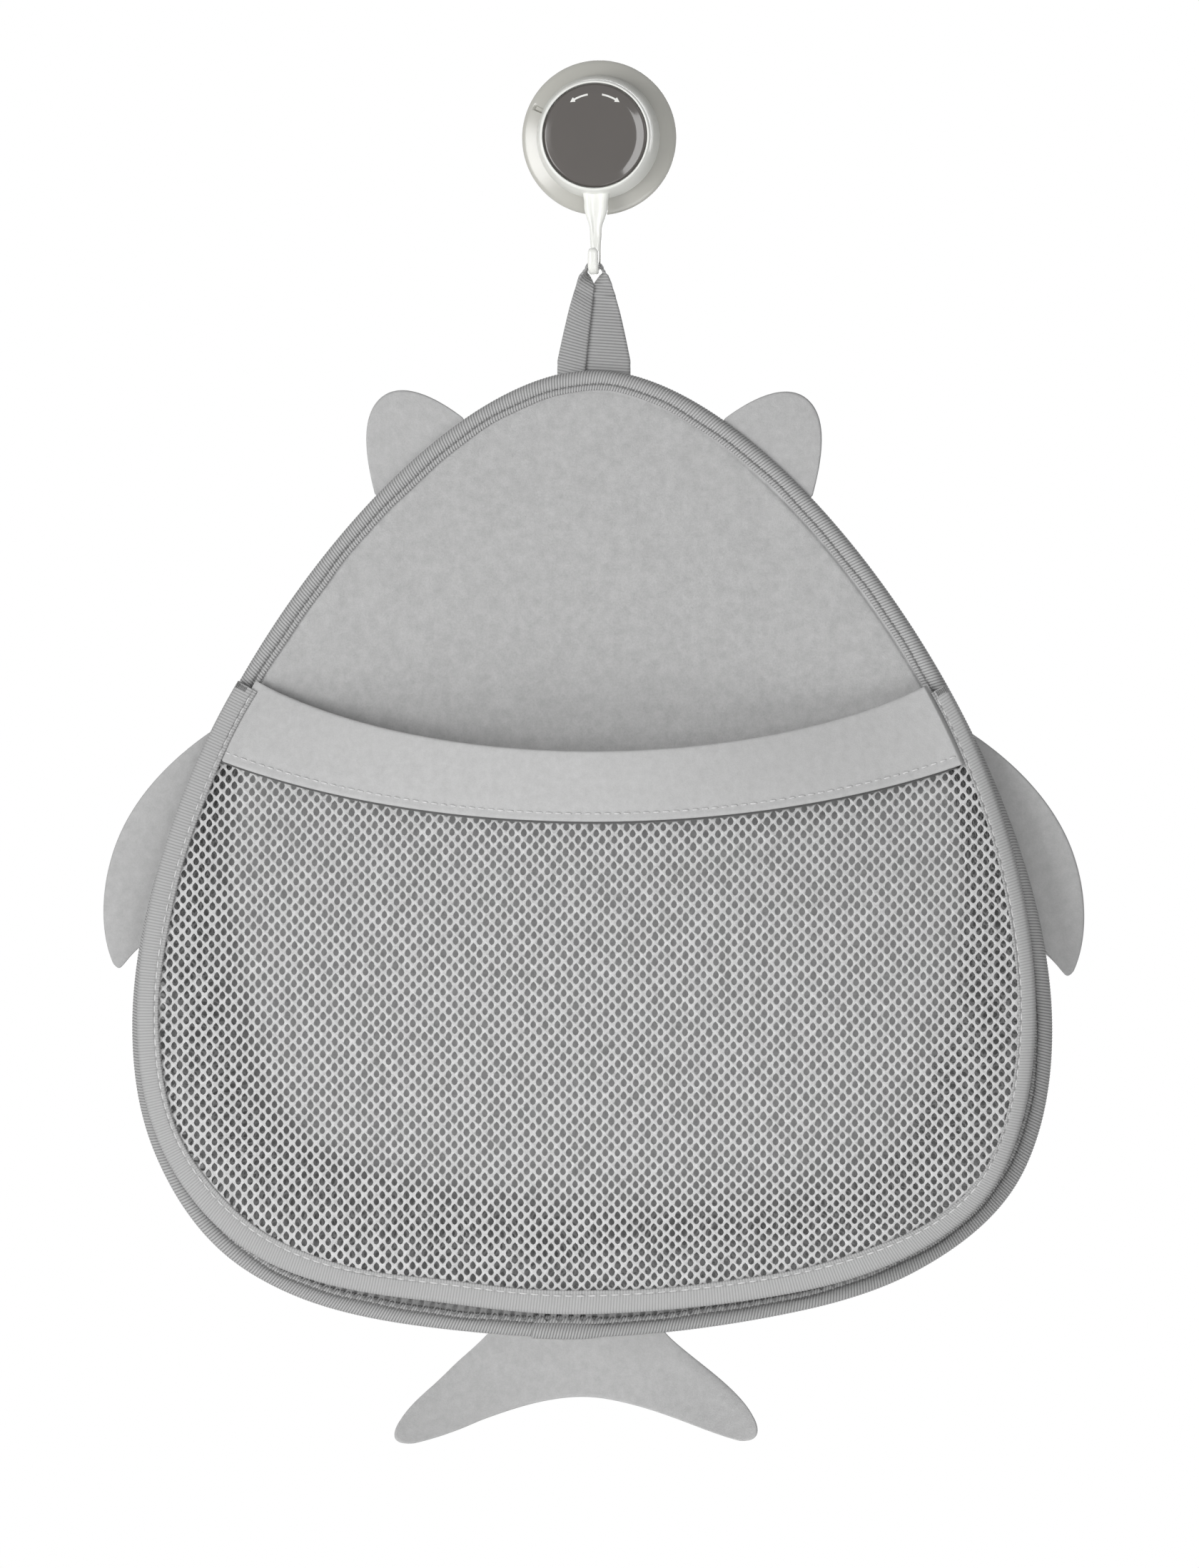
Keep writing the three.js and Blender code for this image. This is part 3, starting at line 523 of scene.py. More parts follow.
# Sections set in a closed round. Those that don't reach the middle are closed themselves.
def roundPiece(name, grid, material, sharp, closed=False):
    faces = [gridFaces(*grid.shape[:2], True, closed)]
    return makePiece(name, grid.reshape(-1, 3), faces, material, sharp=sharp)


def turnedPiece(name, profile, material, segments=144):
    return roundPiece(name, turnedGrid(profile, segments), material, crispAngle, profile[0][0] != 0)


def unite(base, *others):
    for other in others:
        step = base.modifiers.new("join", "BOOLEAN")
        step.operation = "UNION"
        step.solver = "EXACT"
        step.object = other
    joined = bpy.data.meshes.new_from_object(base.evaluated_get(bpy.context.evaluated_depsgraph_get()))
    base.modifiers.clear()
    base.data = joined
    for other in others:
        bpy.data.objects.remove(other)
    joined.polygons.foreach_set("use_smooth", np.ones(len(joined.polygons), bool))
    joined.set_sharp_from_angle(angle=math.radians(crispAngle))
    return base


def bezier(corners, count):
    t = np.linspace(0, 1, count)[:, None]
    a, b, c, d = (np.asarray(corner, float) for corner in corners)
    return a * (1 - t) ** 3 + 3 * b * t * (1 - t) ** 2 + 3 * c * t**2 * (1 - t) + d * t**3


# Curves that follow each other, given as shares of a width and a height
def joinedCurves(curves, size, counts):
    drawn = [bezier(np.array(curve) * size, count) for curve, count in zip(curves, counts)]
    return np.concatenate([*(curve[:-1] for curve in drawn[:-1]), drawn[-1]])


# Suction hook

cup = {
    "profile": [
        (0, 2.4), (13.9, 2.2), (22.1, 1.2), (24, 0), (30, 0), (30, 1.1), (28.8, 1.85), (23.2, 3.7),
        (12.2, 4.3), (9.2, 5.0), (9.2, 9.5), (3.9, 9.5), (3.9, 8.0), (6.3, 8.0), (6.3, 3.4), (0, 3.4),
    ],
    "ease": 0.7, "ringWidth": 0.9, "segments": 288,
    "slotAngle": 155, "slotWidth": 1.5, "slotFrom": 23.4, "slotTo": 28.0, "slotDepth": 1.35, "front": 0.9,
}


# A soft cup with a short slot sunk into its front
def buildCup():
    profile = eased(cup["profile"], cup["ease"])
    rings = [profile[:1]]
    for before, after in zip(profile[:-1], profile[1:]):
        steps = max(1, int(np.linalg.norm(after - before) / cup["ringWidth"]))
        rings.append(before + (after - before) * (np.arange(1, steps + 1) / steps)[:, None])
    grid = turnedGrid(np.concatenate(rings), cup["segments"])
    x, depth, z = grid[..., 0] / mm, -grid[..., 1] / mm, grid[..., 2] / mm
    turn = math.radians(cup["slotAngle"])
    along, across = x * math.cos(turn) + z * math.sin(turn), z * math.cos(turn) - x * math.sin(turn)
    inside = smooth(cup["slotWidth"] / 2 - np.abs(across), -0.2, 0.2)
    inside *= smooth(along, cup["slotFrom"] - 0.4, cup["slotFrom"] + 0.4)
    inside *= smooth(along, cup["slotTo"] + 0.2, cup["slotTo"] - 0.2)
    grid[..., 1] += inside * (depth > cup["front"]) * cup["slotDepth"] * mm
    return roundPiece("cup_disc", grid, "cupVinyl", 50)


knob = {
    "bore": 21, "base": (24, 5), "rim": (21.4, 20.8), "recess": 20.3, "ledge": 18.6, "ledgeFront": 18.4,
    "rimFlare": 0.15, "rimDrop": 1.0, "rimChamfer": 0.35, "web": (11.8, 13), "tower": 6.8, "ease": 0.45,
    "camBack": 12.5, "camLow": 13.4, "camRise": 2, "camOuter": 10.6, "camSpan": (-100, 10), "camSteps": 24,
}
hook = {
    "rootHeight": -21.6, "drop": 51.9, "depth": 12.5, "reach": 12, "corner": 3.2, "tipRise": 8.4,
    "root": (9.3, 5.0), "bar": (4.1, 3.6),  # width and thickness
    "taper": (5.5, 15, 22), "taperFirst": 0.88, "taperLast": 0.12,  # lengths from the root, and shares
    "flare": 0.12, "flareEnd": 4, "channel": 0.55, "channelEnds": (13, 22), "squareness": 0.72,
    "bluntEnd": 1.8, "blunt": 0.85, "sides": 40,
}


# The arm goes down, under the loop and up to the tip, tapering from the root to the bar.
def hookArm():
    barHeight, near, far = -hook["drop"], hook["depth"], hook["depth"] + hook["reach"]
    c = hook["corner"]
    turn = np.radians(np.linspace(0, 90, 12))
    down = np.stack([np.full(26, near), np.linspace(hook["rootHeight"], barHeight + c, 26)], 1)
    first = np.stack([near + c - c * np.cos(turn), barHeight + c - c * np.sin(turn)], 1)
    second = np.stack([far - c + c * np.sin(turn), barHeight + c - c * np.cos(turn)], 1)
    tip = np.stack([np.full(14, far), np.linspace(barHeight + c, barHeight + hook["tipRise"], 14)], 1)
    path = np.concatenate([down, first[1:], second, tip[1:]])
    tangent = unit(np.gradient(path, axis=0))
    along = walked(path)
    start, most, full = hook["taper"]
    taper = hook["taperFirst"] * smooth(along, start, most) + hook["taperLast"] * smooth(along, most, full)
    end = np.clip(1 - (along[-1] - along) / hook["bluntEnd"], 0, 1)
    blunt = np.sqrt(1 - hook["blunt"] * end**2)
    flare = 1 + hook["flare"] * (1 - smooth(along, 0, hook["flareEnd"]))
    halfWidth = mix(hook["root"][0], hook["bar"][0], taper) / 2 * blunt * flare
    halfThick = mix(hook["root"][1], hook["bar"][1], taper) / 2 * blunt
    angle = np.arange(hook["sides"]) * fullTurn / hook["sides"]
    circle = np.stack([np.cos(angle), np.sin(angle)])
    sideways, outwards = np.sign(circle) * np.abs(circle) ** hook["squareness"]
    channel = hook["channel"] * (1 - smooth(along, *hook["channelEnds"]))[:, None]
    channel = channel * (outwards > 0.5) * (1 - smooth(np.abs(sideways), 0.25, 0.62))
    offset = outwards * halfThick[:, None] - channel
    x = sideways * halfWidth[:, None]
    depth = path[:, :1] - offset * tangent[:, 1:]
    z = path[:, 1:] + offset * tangent[:, :1]
    return loftPiece("hook_arm", inMetres(x, depth, z), "whitePlastic", sharp=50)


def camRamp(start):
    turn = np.linspace(*knob["camSpan"], knob["camSteps"])
    top = knob["camLow"] + knob["camRise"] * (1 + turn / 90)
    angle = np.radians(start + turn)[:, None]
    radius = np.array([knob["tower"], knob["camOuter"], knob["camOuter"], knob["tower"]])
    back = np.full_like(top, knob["camBack"])
    depth = np.stack([back, back, top, top], 1)
    return loftPiece("cam_ramp", aboutAxis(angle, radius, depth), "whitePlastic")


def buildKnob():
    bore, tower, recess, ledge = knob["bore"], knob["tower"], knob["recess"], knob["ledge"]
    (baseRadius, start), (rimRadius, front), (webBack, webFront) = knob["base"], knob["rim"], knob["web"]
    outside = [
        (bore, start), (baseRadius, start),
        (rimRadius + knob["rimFlare"], front - knob["rimDrop"]), (rimRadius - knob["rimChamfer"], front),
    ]
    seat = [(recess, front), (recess, knob["ledgeFront"]), (ledge, knob["ledgeFront"])]
    web = [(ledge, webFront), (tower, webFront), (tower, webBack), (bore, webBack)]
    ring = turnedPiece("hook_body", eased(outside + seat + web, knob["ease"]), "whitePlastic")
    return unite(ring, camRamp(0), camRamp(180), hookArm())


cap = {
    "radius": 20, "back": 18.7, "edge": 20.05, "crown": 0.065, "roll": 0.08, "rollSpan": (0.78, 0.86),
    "bevel": 0.4, "bevelDrop": 0.2, "ease": 0.25,
}


# A shallow crown that rolls off a little more steeply near the edge
def capFront(radius):
    steps = np.linspace(0, cap["radius"], 400)
    share = steps / cap["radius"]
    slope = cap["crown"] * share + cap["roll"] * smooth(share, *cap["rollSpan"])
    fall = np.concatenate([[0], np.cumsum((slope[1:] + slope[:-1]) / 2 * np.diff(steps))])
    return cap["edge"] + fall[-1] - np.interp(radius, steps, fall)


def buildCap():
    out = np.linspace(cap["radius"] - cap["bevel"], 0, 60)
    front = np.stack([out, capFront(out)], 1)
    side = [(cap["radius"] - 0.01, cap["back"]), (cap["radius"], cap["edge"] - cap["bevelDrop"])]
    edge = eased([*side, front[0]], cap["ease"])
    profile = np.concatenate([[(0, cap["back"])], edge, front[1:]])
    profile[-1][0] = 0
    return turnedPiece("cap_disc", profile, "capPlastic", 160)


turnMarks = {
    "radius": 15.9, "width": 0.7, "from": 10, "to": 30, "headLength": 7, "headWidth": 2.1,
    "rise": 0.06, "sunk": -0.05, "steps": 30,
}


# A curved arrow each way, printed on the cap
def buildTurnMarks():
    points, faces = [], []
    steps = turnMarks["steps"]
    span = np.linspace(turnMarks["from"], turnMarks["to"] + turnMarks["headLength"], steps)
    closing = np.clip((span[-1] - span) / turnMarks["headLength"], 0, 1)
    half = np.where(span > turnMarks["to"], turnMarks["headWidth"] * closing, turnMarks["width"]) / 2
    for side in (1, -1):
        angle = np.radians(90 + side * span)
        base = len(points) * steps
        for lift in (turnMarks["rise"], turnMarks["sunk"]):
            for edge in (-1, 1):
                radius = turnMarks["radius"] + edge * half
                points.append(aboutAxis(angle, radius, capFront(radius) + lift))
        row = np.stack([base + k * steps + np.arange(steps) for k in (0, 1, 3, 2)], 1)
        for k in range(4):
            n = (k + 1) % 4
            faces.append(np.stack([row[:-1, k], row[:-1, n], row[1:, n], row[1:, k]], 1))
        faces += [row[:1, ::-1], row[-1:]]
    return makePiece("turn_marks", np.concatenate(points), faces, "markInk", sharp=30)


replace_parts(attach(buildCup(), "wall_base"), "suction_cup")
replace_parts(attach(buildKnob(), "knob"), "hook_knob")
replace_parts(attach(buildCap(), "knob"), "knob_cap")
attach(buildTurnMarks(), "knob")
hiddenFinishes = {
    "base_housing": "innerPlastic", "cup_post": "innerPlastic", "cross_pin": "pinSteel",
    "stiffener_board": "greyBoard",
}
for node, material in hiddenFinishes.items():
    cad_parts[node].data.materials.clear()
    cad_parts[node].data.materials.append(finishes[material])
print("stage: suction hook")


# Bag outline, clockwise from the middle of its top

bag = {
    "top": -90.4, "bottom": -464.2, "half": 178.3, "wide": -344.584, "middleDepth": 18.5,
    "shoulder": (0.4, 0.416), "hip": (0.587, 0.777),  # fullness above and below the widest part
}


def drawOutline():
    half, top, low, wide = bag["half"], bag["top"], bag["bottom"], bag["wide"]
    (first, second), (third, fourth) = bag["shoulder"], bag["hip"]
    upper = [(0, top), (first * half, top), (half, wide + second * (top - wide)), (half, wide)]
    lower = [(half, wide), (half, wide - third * (wide - low)), (fourth * half, low), (0, low)]
    right = np.concatenate([bezier(upper, 900)[:-1], bezier(lower, 900)])
    left = right[::-1][1:] * (-1, 1)
    return np.concatenate([right, left])


outline = drawOutline()
reach = walked(outline)
outlineLength = reach[-1]
outlineAlong = np.diff(np.concatenate([outline[-2:-1], outline, outline[1:2]]), axis=0)
outlineAlong = unit(outlineAlong[:-1] + outlineAlong[1:])


# A share runs from 0 to 1 once round the outline.
def sampled(values, share):
    at = np.mod(share, 1) * outlineLength
    return np.stack([np.interp(at, reach, values[:, 0]), np.interp(at, reach, values[:, 1])], -1)


def edgeFrame(share):
    point, along = sampled(outline, share), unit(sampled(outlineAlong, share))
    return point, along, np.stack([-along[..., 1], along[..., 0]], -1)


def edgePoint(share, inset):
    point, _, out = edgeFrame(share)
    return point - out * np.asarray(inset, float)[..., None]


def shareAtHeight(height):
    half = len(outline) // 2 + 1
    return np.interp(-height, -outline[:half, 1], reach[:half]) / outlineLength


# Pocket surface

pocket = {
    "corner": -210.99, "rimRise": 26, "crownRise": 21, "insetSide": 6.5, "insetBottom": 11, "base": 24.35,
    "rimFullAt": 0.8, "crownFade": 1.3, "reach": 9, "bandDip": 26, "bandSide": 30, "bandLowDip": 23,
    "slack": 2.4, "slackSpan": (0.5, 0.56, 0.62, 0.7),
}
cornerAt = shareAtHeight(pocket["corner"])
rimLength = (1 - 2 * cornerAt) * outlineLength


# How far the rim lies inside the outline: 0 at the corners, most at the bottom, and more at the lower left
def rimInset(share):
    fold = np.minimum(np.mod(share, 1), 1 - np.mod(share, 1))
    down = np.clip((fold - cornerAt) / (0.5 - cornerAt), 0, 1)
    drawnIn = pocket["slack"] * window(share, *pocket["slackSpan"])
    lower = (pocket["insetBottom"] - pocket["insetSide"]) * smooth(down, 0.5, 1)
    return pocket["insetSide"] * smooth(down, 0, 0.5) + lower + drawnIn


def rimPoint(share, inset):
    return edgePoint(share, rimInset(share) + inset)


# Half the width inside the rim at a height, for a given inset
def rimProfile(inset):
    line = rimPoint(np.linspace(0.03, 0.5, 600), inset)[::-1]
    return lambda height: np.interp(height, line[:, 1], line[:, 0], left=0)


rimBottom = rimPoint(np.array([0.5]), 0)[0, 1]
tapeInnerAt = rimProfile(pocket["reach"])


def pocketDown(z):
    return np.clip((pocket["corner"] - z) / (pocket["corner"] - rimBottom), 0, 1)


def rimDepth(z):
    down = np.minimum(1, pocketDown(z) / pocket["rimFullAt"])
    return pocket["base"] + pocket["rimRise"] * np.sin(math.pi / 2 * down)


def pocketDepth(x, z):
    across = np.minimum(1, np.abs(x) / np.maximum(tapeInnerAt(z) - 2, 1))
    crown = pocket["crownRise"] * (1 - pocketDown(z)) ** pocket["crownFade"]
    return rimDepth(z) + crown * (1 - across**2) ** 2


def bandTop(across):
    return pocket["corner"] - pocket["bandDip"] * (1 - across**2)


def bandLow(across):
    return pocket["corner"] - pocket["bandSide"] - pocket["bandLowDip"] * (1 - across**2)


# Sewing: short round stitches that dive into the cloth at both ends. The size is a length and a radius.
def stitchRow(name, centre, along, faceSign, size, material):
    length, radius = (value * mm for value in size)
    count, rings, sides = len(centre), 7, 6
    t = np.linspace(-1, 1, rings)
    turn = np.arange(sides) * fullTurn / sides
    swell = np.sqrt(np.clip(1 - (0.96 * t) ** 4, 0, 1))
    up = np.tile([0.0, -faceSign, 0], (count, 1))
    side = np.cross(along, up)
    dive = radius * 0.9 * t**4
    spine = centre[:, None] + along[:, None] * (t * length / 2)[:, None] - up[:, None] * dive[:, None]
    ring = side[:, None] * np.cos(turn)[:, None] + up[:, None] * np.sin(turn)[:, None]
    grid = spine[:, :, None] + ring[:, None] * (swell * radius)[:, None, None]
    start = np.arange(count)[:, None] * rings * sides
    faces = (gridFaces(rings, sides, False, True)[None] + start[..., None]).reshape(-1, 4)
    first = np.arange(sides)[::-1][None] + start
    last = np.arange((rings - 1) * sides, rings * sides)[None] + start
    return makePiece(name, grid.reshape(-1, 3), [faces, first, last], material)


# A folded tape: its front, the same behind, and the inside of the fold, with ribs on the outer part.
# Gives the plain places inwards, then the places outwards and forwards along the tape, and the length map.
def foldedTape(tape, along, lift):
    front = np.array(tape["front"])
    section = np.concatenate([front, [(0, 0)], front[::-1] * (1, -1), tape["inside"]])
    outer = np.arange(len(section)) < 2 * len(front) + 1
    run = np.roll(section, -1, 0) - np.roll(section, 1, 0)
    normals = unit(np.stack([run[:, 1], -run[:, 0]], 1))
    area = np.sum(section[:, 0] * np.roll(section[:, 1], -1) - np.roll(section[:, 0], -1) * section[:, 1])
    walk = walked(section)
    teeth = tape["ribs"] * np.where(section[:, 0] < tape["lip"], tape["lipRibs"], 1)
    phase = fullTurn * (along[:, None] + tape["slant"] * walk) / tapePitch
    rise = (teeth * np.sin(phase) + lift) * outer * np.sign(area)
    out, forward = (section[:, k] + normals[:, k] * rise for k in (0, 1))
    lengthMap = np.stack(np.broadcast_arrays(along[:, None] * mm, walk[None] * mm), -1)
    return section[:, 0], out, forward, lengthMap


# Panels

panels = {
    "inset": 3.4, "rearBack": 15.85, "rearThick": 1.3, "frontBack": 19.15, "frontThick": 2.0, "crown": 0.35,
    "middle": (0, -300.0), "middleFromEdge": 150.0, "around": 360,
    "steps": [28, 20, 15, 12, 10.4, 9.5, 9.0, 8.6, 8.2, 7.8, 7.4, 6.8, 5.6, 4.4, 3.8, 3.5],
    "dipAt": 8.3, "dipWidth": 0.7, "dip": 0.2, "dipRolled": 0.7, "rolledSpan": (0.05, 0.09, 0.24, 0.3),
    "ripple": 0.15, "ripples": 37, "rippleSpan": (7, 9, 10, 20), "thinEdge": 0.55, "thinTo": 4,
}


# The cloth dips along the inner edge of the tape, most on the right where the tape has rolled over.
def panelPiece(name, back, thick, faceSign, material):
    shares = np.arange(panels["around"]) / panels["around"]
    steps = np.array([*panels["steps"], panels["inset"]])
    rings = np.stack([edgePoint(shares, np.full(len(shares), step)) for step in steps], 1)
    middle = np.array(panels["middle"])
    share = np.linspace(0, 1, 18)[:-1]
    flat = np.concatenate([middle + (rings[:, :1] - middle) * share[None, :, None], rings], 1)
    fromEdge = np.concatenate([mix(panels["middleFromEdge"], steps[0], share), steps])[None]
    rolled = panels["dip"] + panels["dipRolled"] * window(shares, *panels["rolledSpan"])
    dip = rolled[:, None] * np.exp(-(((fromEdge - panels["dipAt"]) / panels["dipWidth"]) ** 2))
    ripple = panels["ripple"] * np.sin(shares * fullTurn * panels["ripples"])[:, None]
    ripple = ripple * window(fromEdge, *panels["rippleSpan"])
    crown = panels["crown"] * (1 - (1 - fromEdge / panels["middleFromEdge"]) ** 6)
    full = mix(panels["thinEdge"], 1, smooth(fromEdge, panels["inset"], panels["thinTo"]))
    swell = thick / 2 * full + crown - dip + ripple
    proud = back + thick / 2 + faceSign * swell
    plain = np.full_like(proud, back + thick / 2 - faceSign * thick / 2)
    sides = [inMetres(flat[..., 0], depth, flat[..., 1]) for depth in (proud, plain)]
    grid = np.concatenate([sides[0], sides[1][:, ::-1]], 1)
    return roundPiece(name, grid, material, 60)


frontPanel = panelPiece("front_panel", panels["frontBack"], panels["frontThick"], 1, "panelFelt")
rearPanel = panelPiece("rear_panel", panels["rearBack"], panels["rearThick"], -1, "rearFelt")
panelList = [(frontPanel, "front_skin", "panel_fabric"), (rearPanel, "rear_skin", "back_fabric")]
for piece, node, slotName in panelList:
    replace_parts(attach(piece, "bag"), node)
print("stage: panels")


# Edge tape round the panels

edgeTape = {
    "slant": -0.2, "ribs": 0.12, "lipRibs": 1.7, "lip": -7, "slit": -5,
    "overlapEnd": 19, "overlap": 15, "lift": 0.75, "liftSpan": (14, 4),
    "front": [
        (-7.8, 3.0), (-7.72, 3.35), (-7.45, 3.62), (-6.9, 3.72), (-6.15, 3.7), (-5.85, 3.5), (-5.7, 3.03),
        (-5.3, 3.03), (-5.12, 3.6), (-4.6, 4.05), (-3.7, 4.35), (-2.5, 4.3), (-1.3, 3.7), (-0.5, 2.6),
        (-0.12, 1.3),
    ],
    "inside": [(-7.7, -2.95), (-3.2, -2.95), (-1.0, 0), (-3.2, 2.95), (-7.7, 2.95)],
    "stitchInset": 5.5, "stitchPitch": 3.3, "stitchDepth": 3.2, "stitch": (2.5, 0.24),
    "stray": [(0.2, 17), (0.12, 43)],  # sizes, and waves in one round
}


# The stitched slit and the lip inside it wander a little along the edge.
def edgeStray(share):
    turn = fullTurn * share
    return sum(size * np.sin(waves * turn) for size, waves in edgeTape["stray"])


# The tape starts and ends a little past the middle of the bottom, where one end laps over the other.
def buildEdgeTape():
    overlapShare = edgeTape["overlap"] / outlineLength
    end = 0.5 + edgeTape["overlapEnd"] / outlineLength
    start = end - 1 - overlapShare
    shares = np.linspace(start, end, int((1 + overlapShare) * outlineLength / tapePitch * 4))
    along = (shares - start) * outlineLength
    lapStart = along[-1] - edgeTape["overlap"]
    lift = edgeTape["lift"] * smooth(along, *(lapStart - before for before in edgeTape["liftSpan"]))
    plain, out, forward, lengthMap = foldedTape(edgeTape, along, lift[:, None])
    out = out + edgeStray(shares)[:, None] * (plain < edgeTape["slit"])
    depth = bag["middleDepth"] + forward
    point, _, away = edgeFrame(shares)
    grid = inMetres(point[:, :1] + away[:, :1] * out, depth, point[:, 1:] + away[:, 1:] * out)
    return loftPiece("edge_tape", grid, "edgeTape", uv=lengthMap)


def edgeStitches(name, faceSign):
    count = int(outlineLength / edgeTape["stitchPitch"])
    shares = np.arange(count) / count
    point = edgePoint(shares, edgeTape["stitchInset"] - edgeStray(shares))
    _, along, _ = edgeFrame(shares)
    centre = inMetres(point[:, 0], bag["middleDepth"] + faceSign * edgeTape["stitchDepth"], point[:, 1])
    direction = np.stack([along[:, 0], np.zeros(count), along[:, 1]], 1)
    return stitchRow(name, centre, direction, faceSign, edgeTape["stitch"], "greyThread")


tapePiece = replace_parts(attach(buildEdgeTape(), "bag"), "back_binding")
for name, faceSign in (("edge_stitches_front", 1), ("edge_stitches_rear", -1)):
    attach(edgeStitches(name, faceSign), "bag")
print("stage: edge tape")


# Hanging loop: flat legs that meet in the middle at the bag, gathered and turned edge-on at the hook

loop = {
    "thick": 1.1, "gathered": 7, "length": 37.6, "tuck": 5.5, "ribs": 0.08, "crown": 0.5,
    "barHeight": -51.9, "top": (2.4, 4.4), "outer": 14.6, "spread": 0.72, "pinch": 0.5, "meet": 0.17,
    "leanRight": 0.06, "leanLeft": 0.24, "leanLeftTop": 0.3, "leanTop": (-84, -60),  # of the ribs
    # shares of the way down at which each change is made
    "gatherSpan": (0.02, 0.3), "pinchSpan": (0.92, 1), "flatSpan": (0.5, 0.25), "forwardSpan": (0, 0.14),
    # where each inner edge meets, how far it drifts and how far forward it lies
    "sides": {1: (-0.1, -3.9, -0.7), -1: (-0.7, 3.9, 0.8)},
}


# Middle line, direction across, facing and width of one leg, from the hook down
def loopLeg(side, meeting, drift, forward):
    down = np.linspace(0, 1 + loop["tuck"] / loop["length"], 180)
    held = np.minimum(down, 1)
    pinch = loop["pinch"] * smooth(held, *loop["pinchSpan"])
    outer = mix(loop["top"][1], loop["outer"], held ** loop["spread"]) - pinch
    inner = mix(loop["top"][0], meeting, smooth(held, 0, loop["meet"])) + drift * held
    width = mix(loop["gathered"], outer - inner, smooth(held, *loop["gatherSpan"]))
    turn = np.full_like(down, math.pi / 2)
    for _ in range(6):
        turn = np.arccos(np.clip((outer - inner - loop["thick"] * np.sin(turn)) / width, 0, 1))
    turn = mix(math.pi / 2, turn, smooth(held, 0, 0.06)) * smooth(held, *loop["flatSpan"])
    z = loop["barHeight"] - loop["length"] * down
    flat = np.zeros_like(z)
    depth = bag["middleDepth"] + forward * smooth(held, *loop["forwardSpan"])
    place = np.stack([side * (inner + outer) / 2, depth, z], 1)
    across = np.stack([side * np.cos(turn), np.sin(turn), flat], 1)
    return place, across, np.stack([side * np.sin(turn), -np.cos(turn), flat], 1), width


def loopArc():
    half = loop["thick"] / 2
    bend = loop["top"][0] + half
    angle = np.linspace(0, math.pi, 44)[1:-1]
    level = np.full_like(angle, bag["middleDepth"])
    over = np.stack([bend * np.cos(angle), level, loop["barHeight"] + bend * np.sin(angle)], 1)
    face = np.stack([np.cos(angle), np.zeros_like(angle), np.sin(angle)], 1)
    return over, np.tile([0.0, 1, 0], (len(angle), 1)), face, np.full(len(angle), loop["gathered"])


def buildLoop():
    legs = {side: loopLeg(side, *values) for side, values in loop["sides"].items()}
    parts = zip(legs[1], loopArc(), legs[-1])
    place, across, face, width = (np.concatenate([right[::-1], top, left]) for right, top, left in parts)
    x, z = place[:, 0], place[:, 2]
    flank = np.linspace(-0.97, 0.97, 15)
    v = np.concatenate([flank, [1.0], flank[::-1], [-1.0]])
    sideOf = np.concatenate([np.ones(15), [0], -np.ones(15), [0]])
    leftLean = loop["leanLeft"] + loop["leanLeftTop"] * smooth(z, *loop["leanTop"])
    lean = np.where(x < 0, leftLean, loop["leanRight"]) * smooth(np.abs(x), 0.5, 4)
    sideways = v * width[:, None] / 2
    along = walked(place)[:, None] + lean[:, None] * sideways
    crown = loop["crown"] * (1 - v**2) * smooth(-z, 56, 74)[:, None]
    ribs = loop["ribs"] * np.sin(fullTurn * along / tapePitch)
    lift = sideOf * (loop["thick"] / 2 + ribs) + crown * np.sign(face[:, 1:2] + 1e-9)
    grid = place[:, None] + across[:, None] * sideways[..., None] + face[:, None] * lift[..., None]
    uv = np.stack([along * mm, np.broadcast_to(v, along.shape) * mm], -1)
    return loftPiece("ribbon_loop", inMetres(*np.moveaxis(grid, -1, 0)), "loopRibbon", uv=uv)


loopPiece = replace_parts(buildLoop(), "hanging_loop")
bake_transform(loopPiece)
print("stage: hanging loop")


# Flaps sewn into the edge: ears, flippers and tail

bagHeight = bag["top"] - bag["bottom"]
flaps = {
    "ear": {"base": 45, "height": 26.3, "share": shareAtHeight(bag["top"] - 0.0886 * bagHeight)},
    "flipper": {"length": 100, "width": 18.8, "share": shareAtHeight(bag["top"] - 0.486 * bagHeight)},
    "tail": {
        "width": 142, "height": 40, "share": 0.5, "narrow": 4.4, "longTip": 1.8, "tipSpan": (52, 70),
        "slim": 1.2, "slimSpan": (36, 48),
    },
    "thick": 2.0, "tuck": 3.2, "rounding": [1.4, 0.8, 0.4, 0.12, 0.0], "bendSpan": (-1.0, 7.0),
}


def drawEar():
    rise = [(-1, 0), (-0.89, 0.46), (-0.64, 1), (-0.16, 1)]
    fall = [(-0.16, 1), (0.31, 1), (0.69, 0.53), (1, 0)]
    return joinedCurves([rise, fall], (flaps["ear"]["base"] / 2, flaps["ear"]["height"]), (40, 40))


def drawFlipper():
    size = np.array([flaps["flipper"]["length"], flaps["flipper"]["width"]])
    rise = [(-0.454, -0.16), (-0.3, 0.46), (-0.1, 1), (0.11, 1)]
    fall = [(0.11, 1), (0.28, 1), (0.44, 0.7), (0.532, 0.24)]
    a, b, c, end = np.array([(0.532, 0.24), (0.556, 0.06), (0.525, 0.03), (0.424, -0.16)]) * size
    under = np.linspace(c, end, 8)[1:]
    return np.concatenate([joinedCurves([rise, fall], size, (44, 44))[:-1], shortCurve(a, b, c, 10), under])


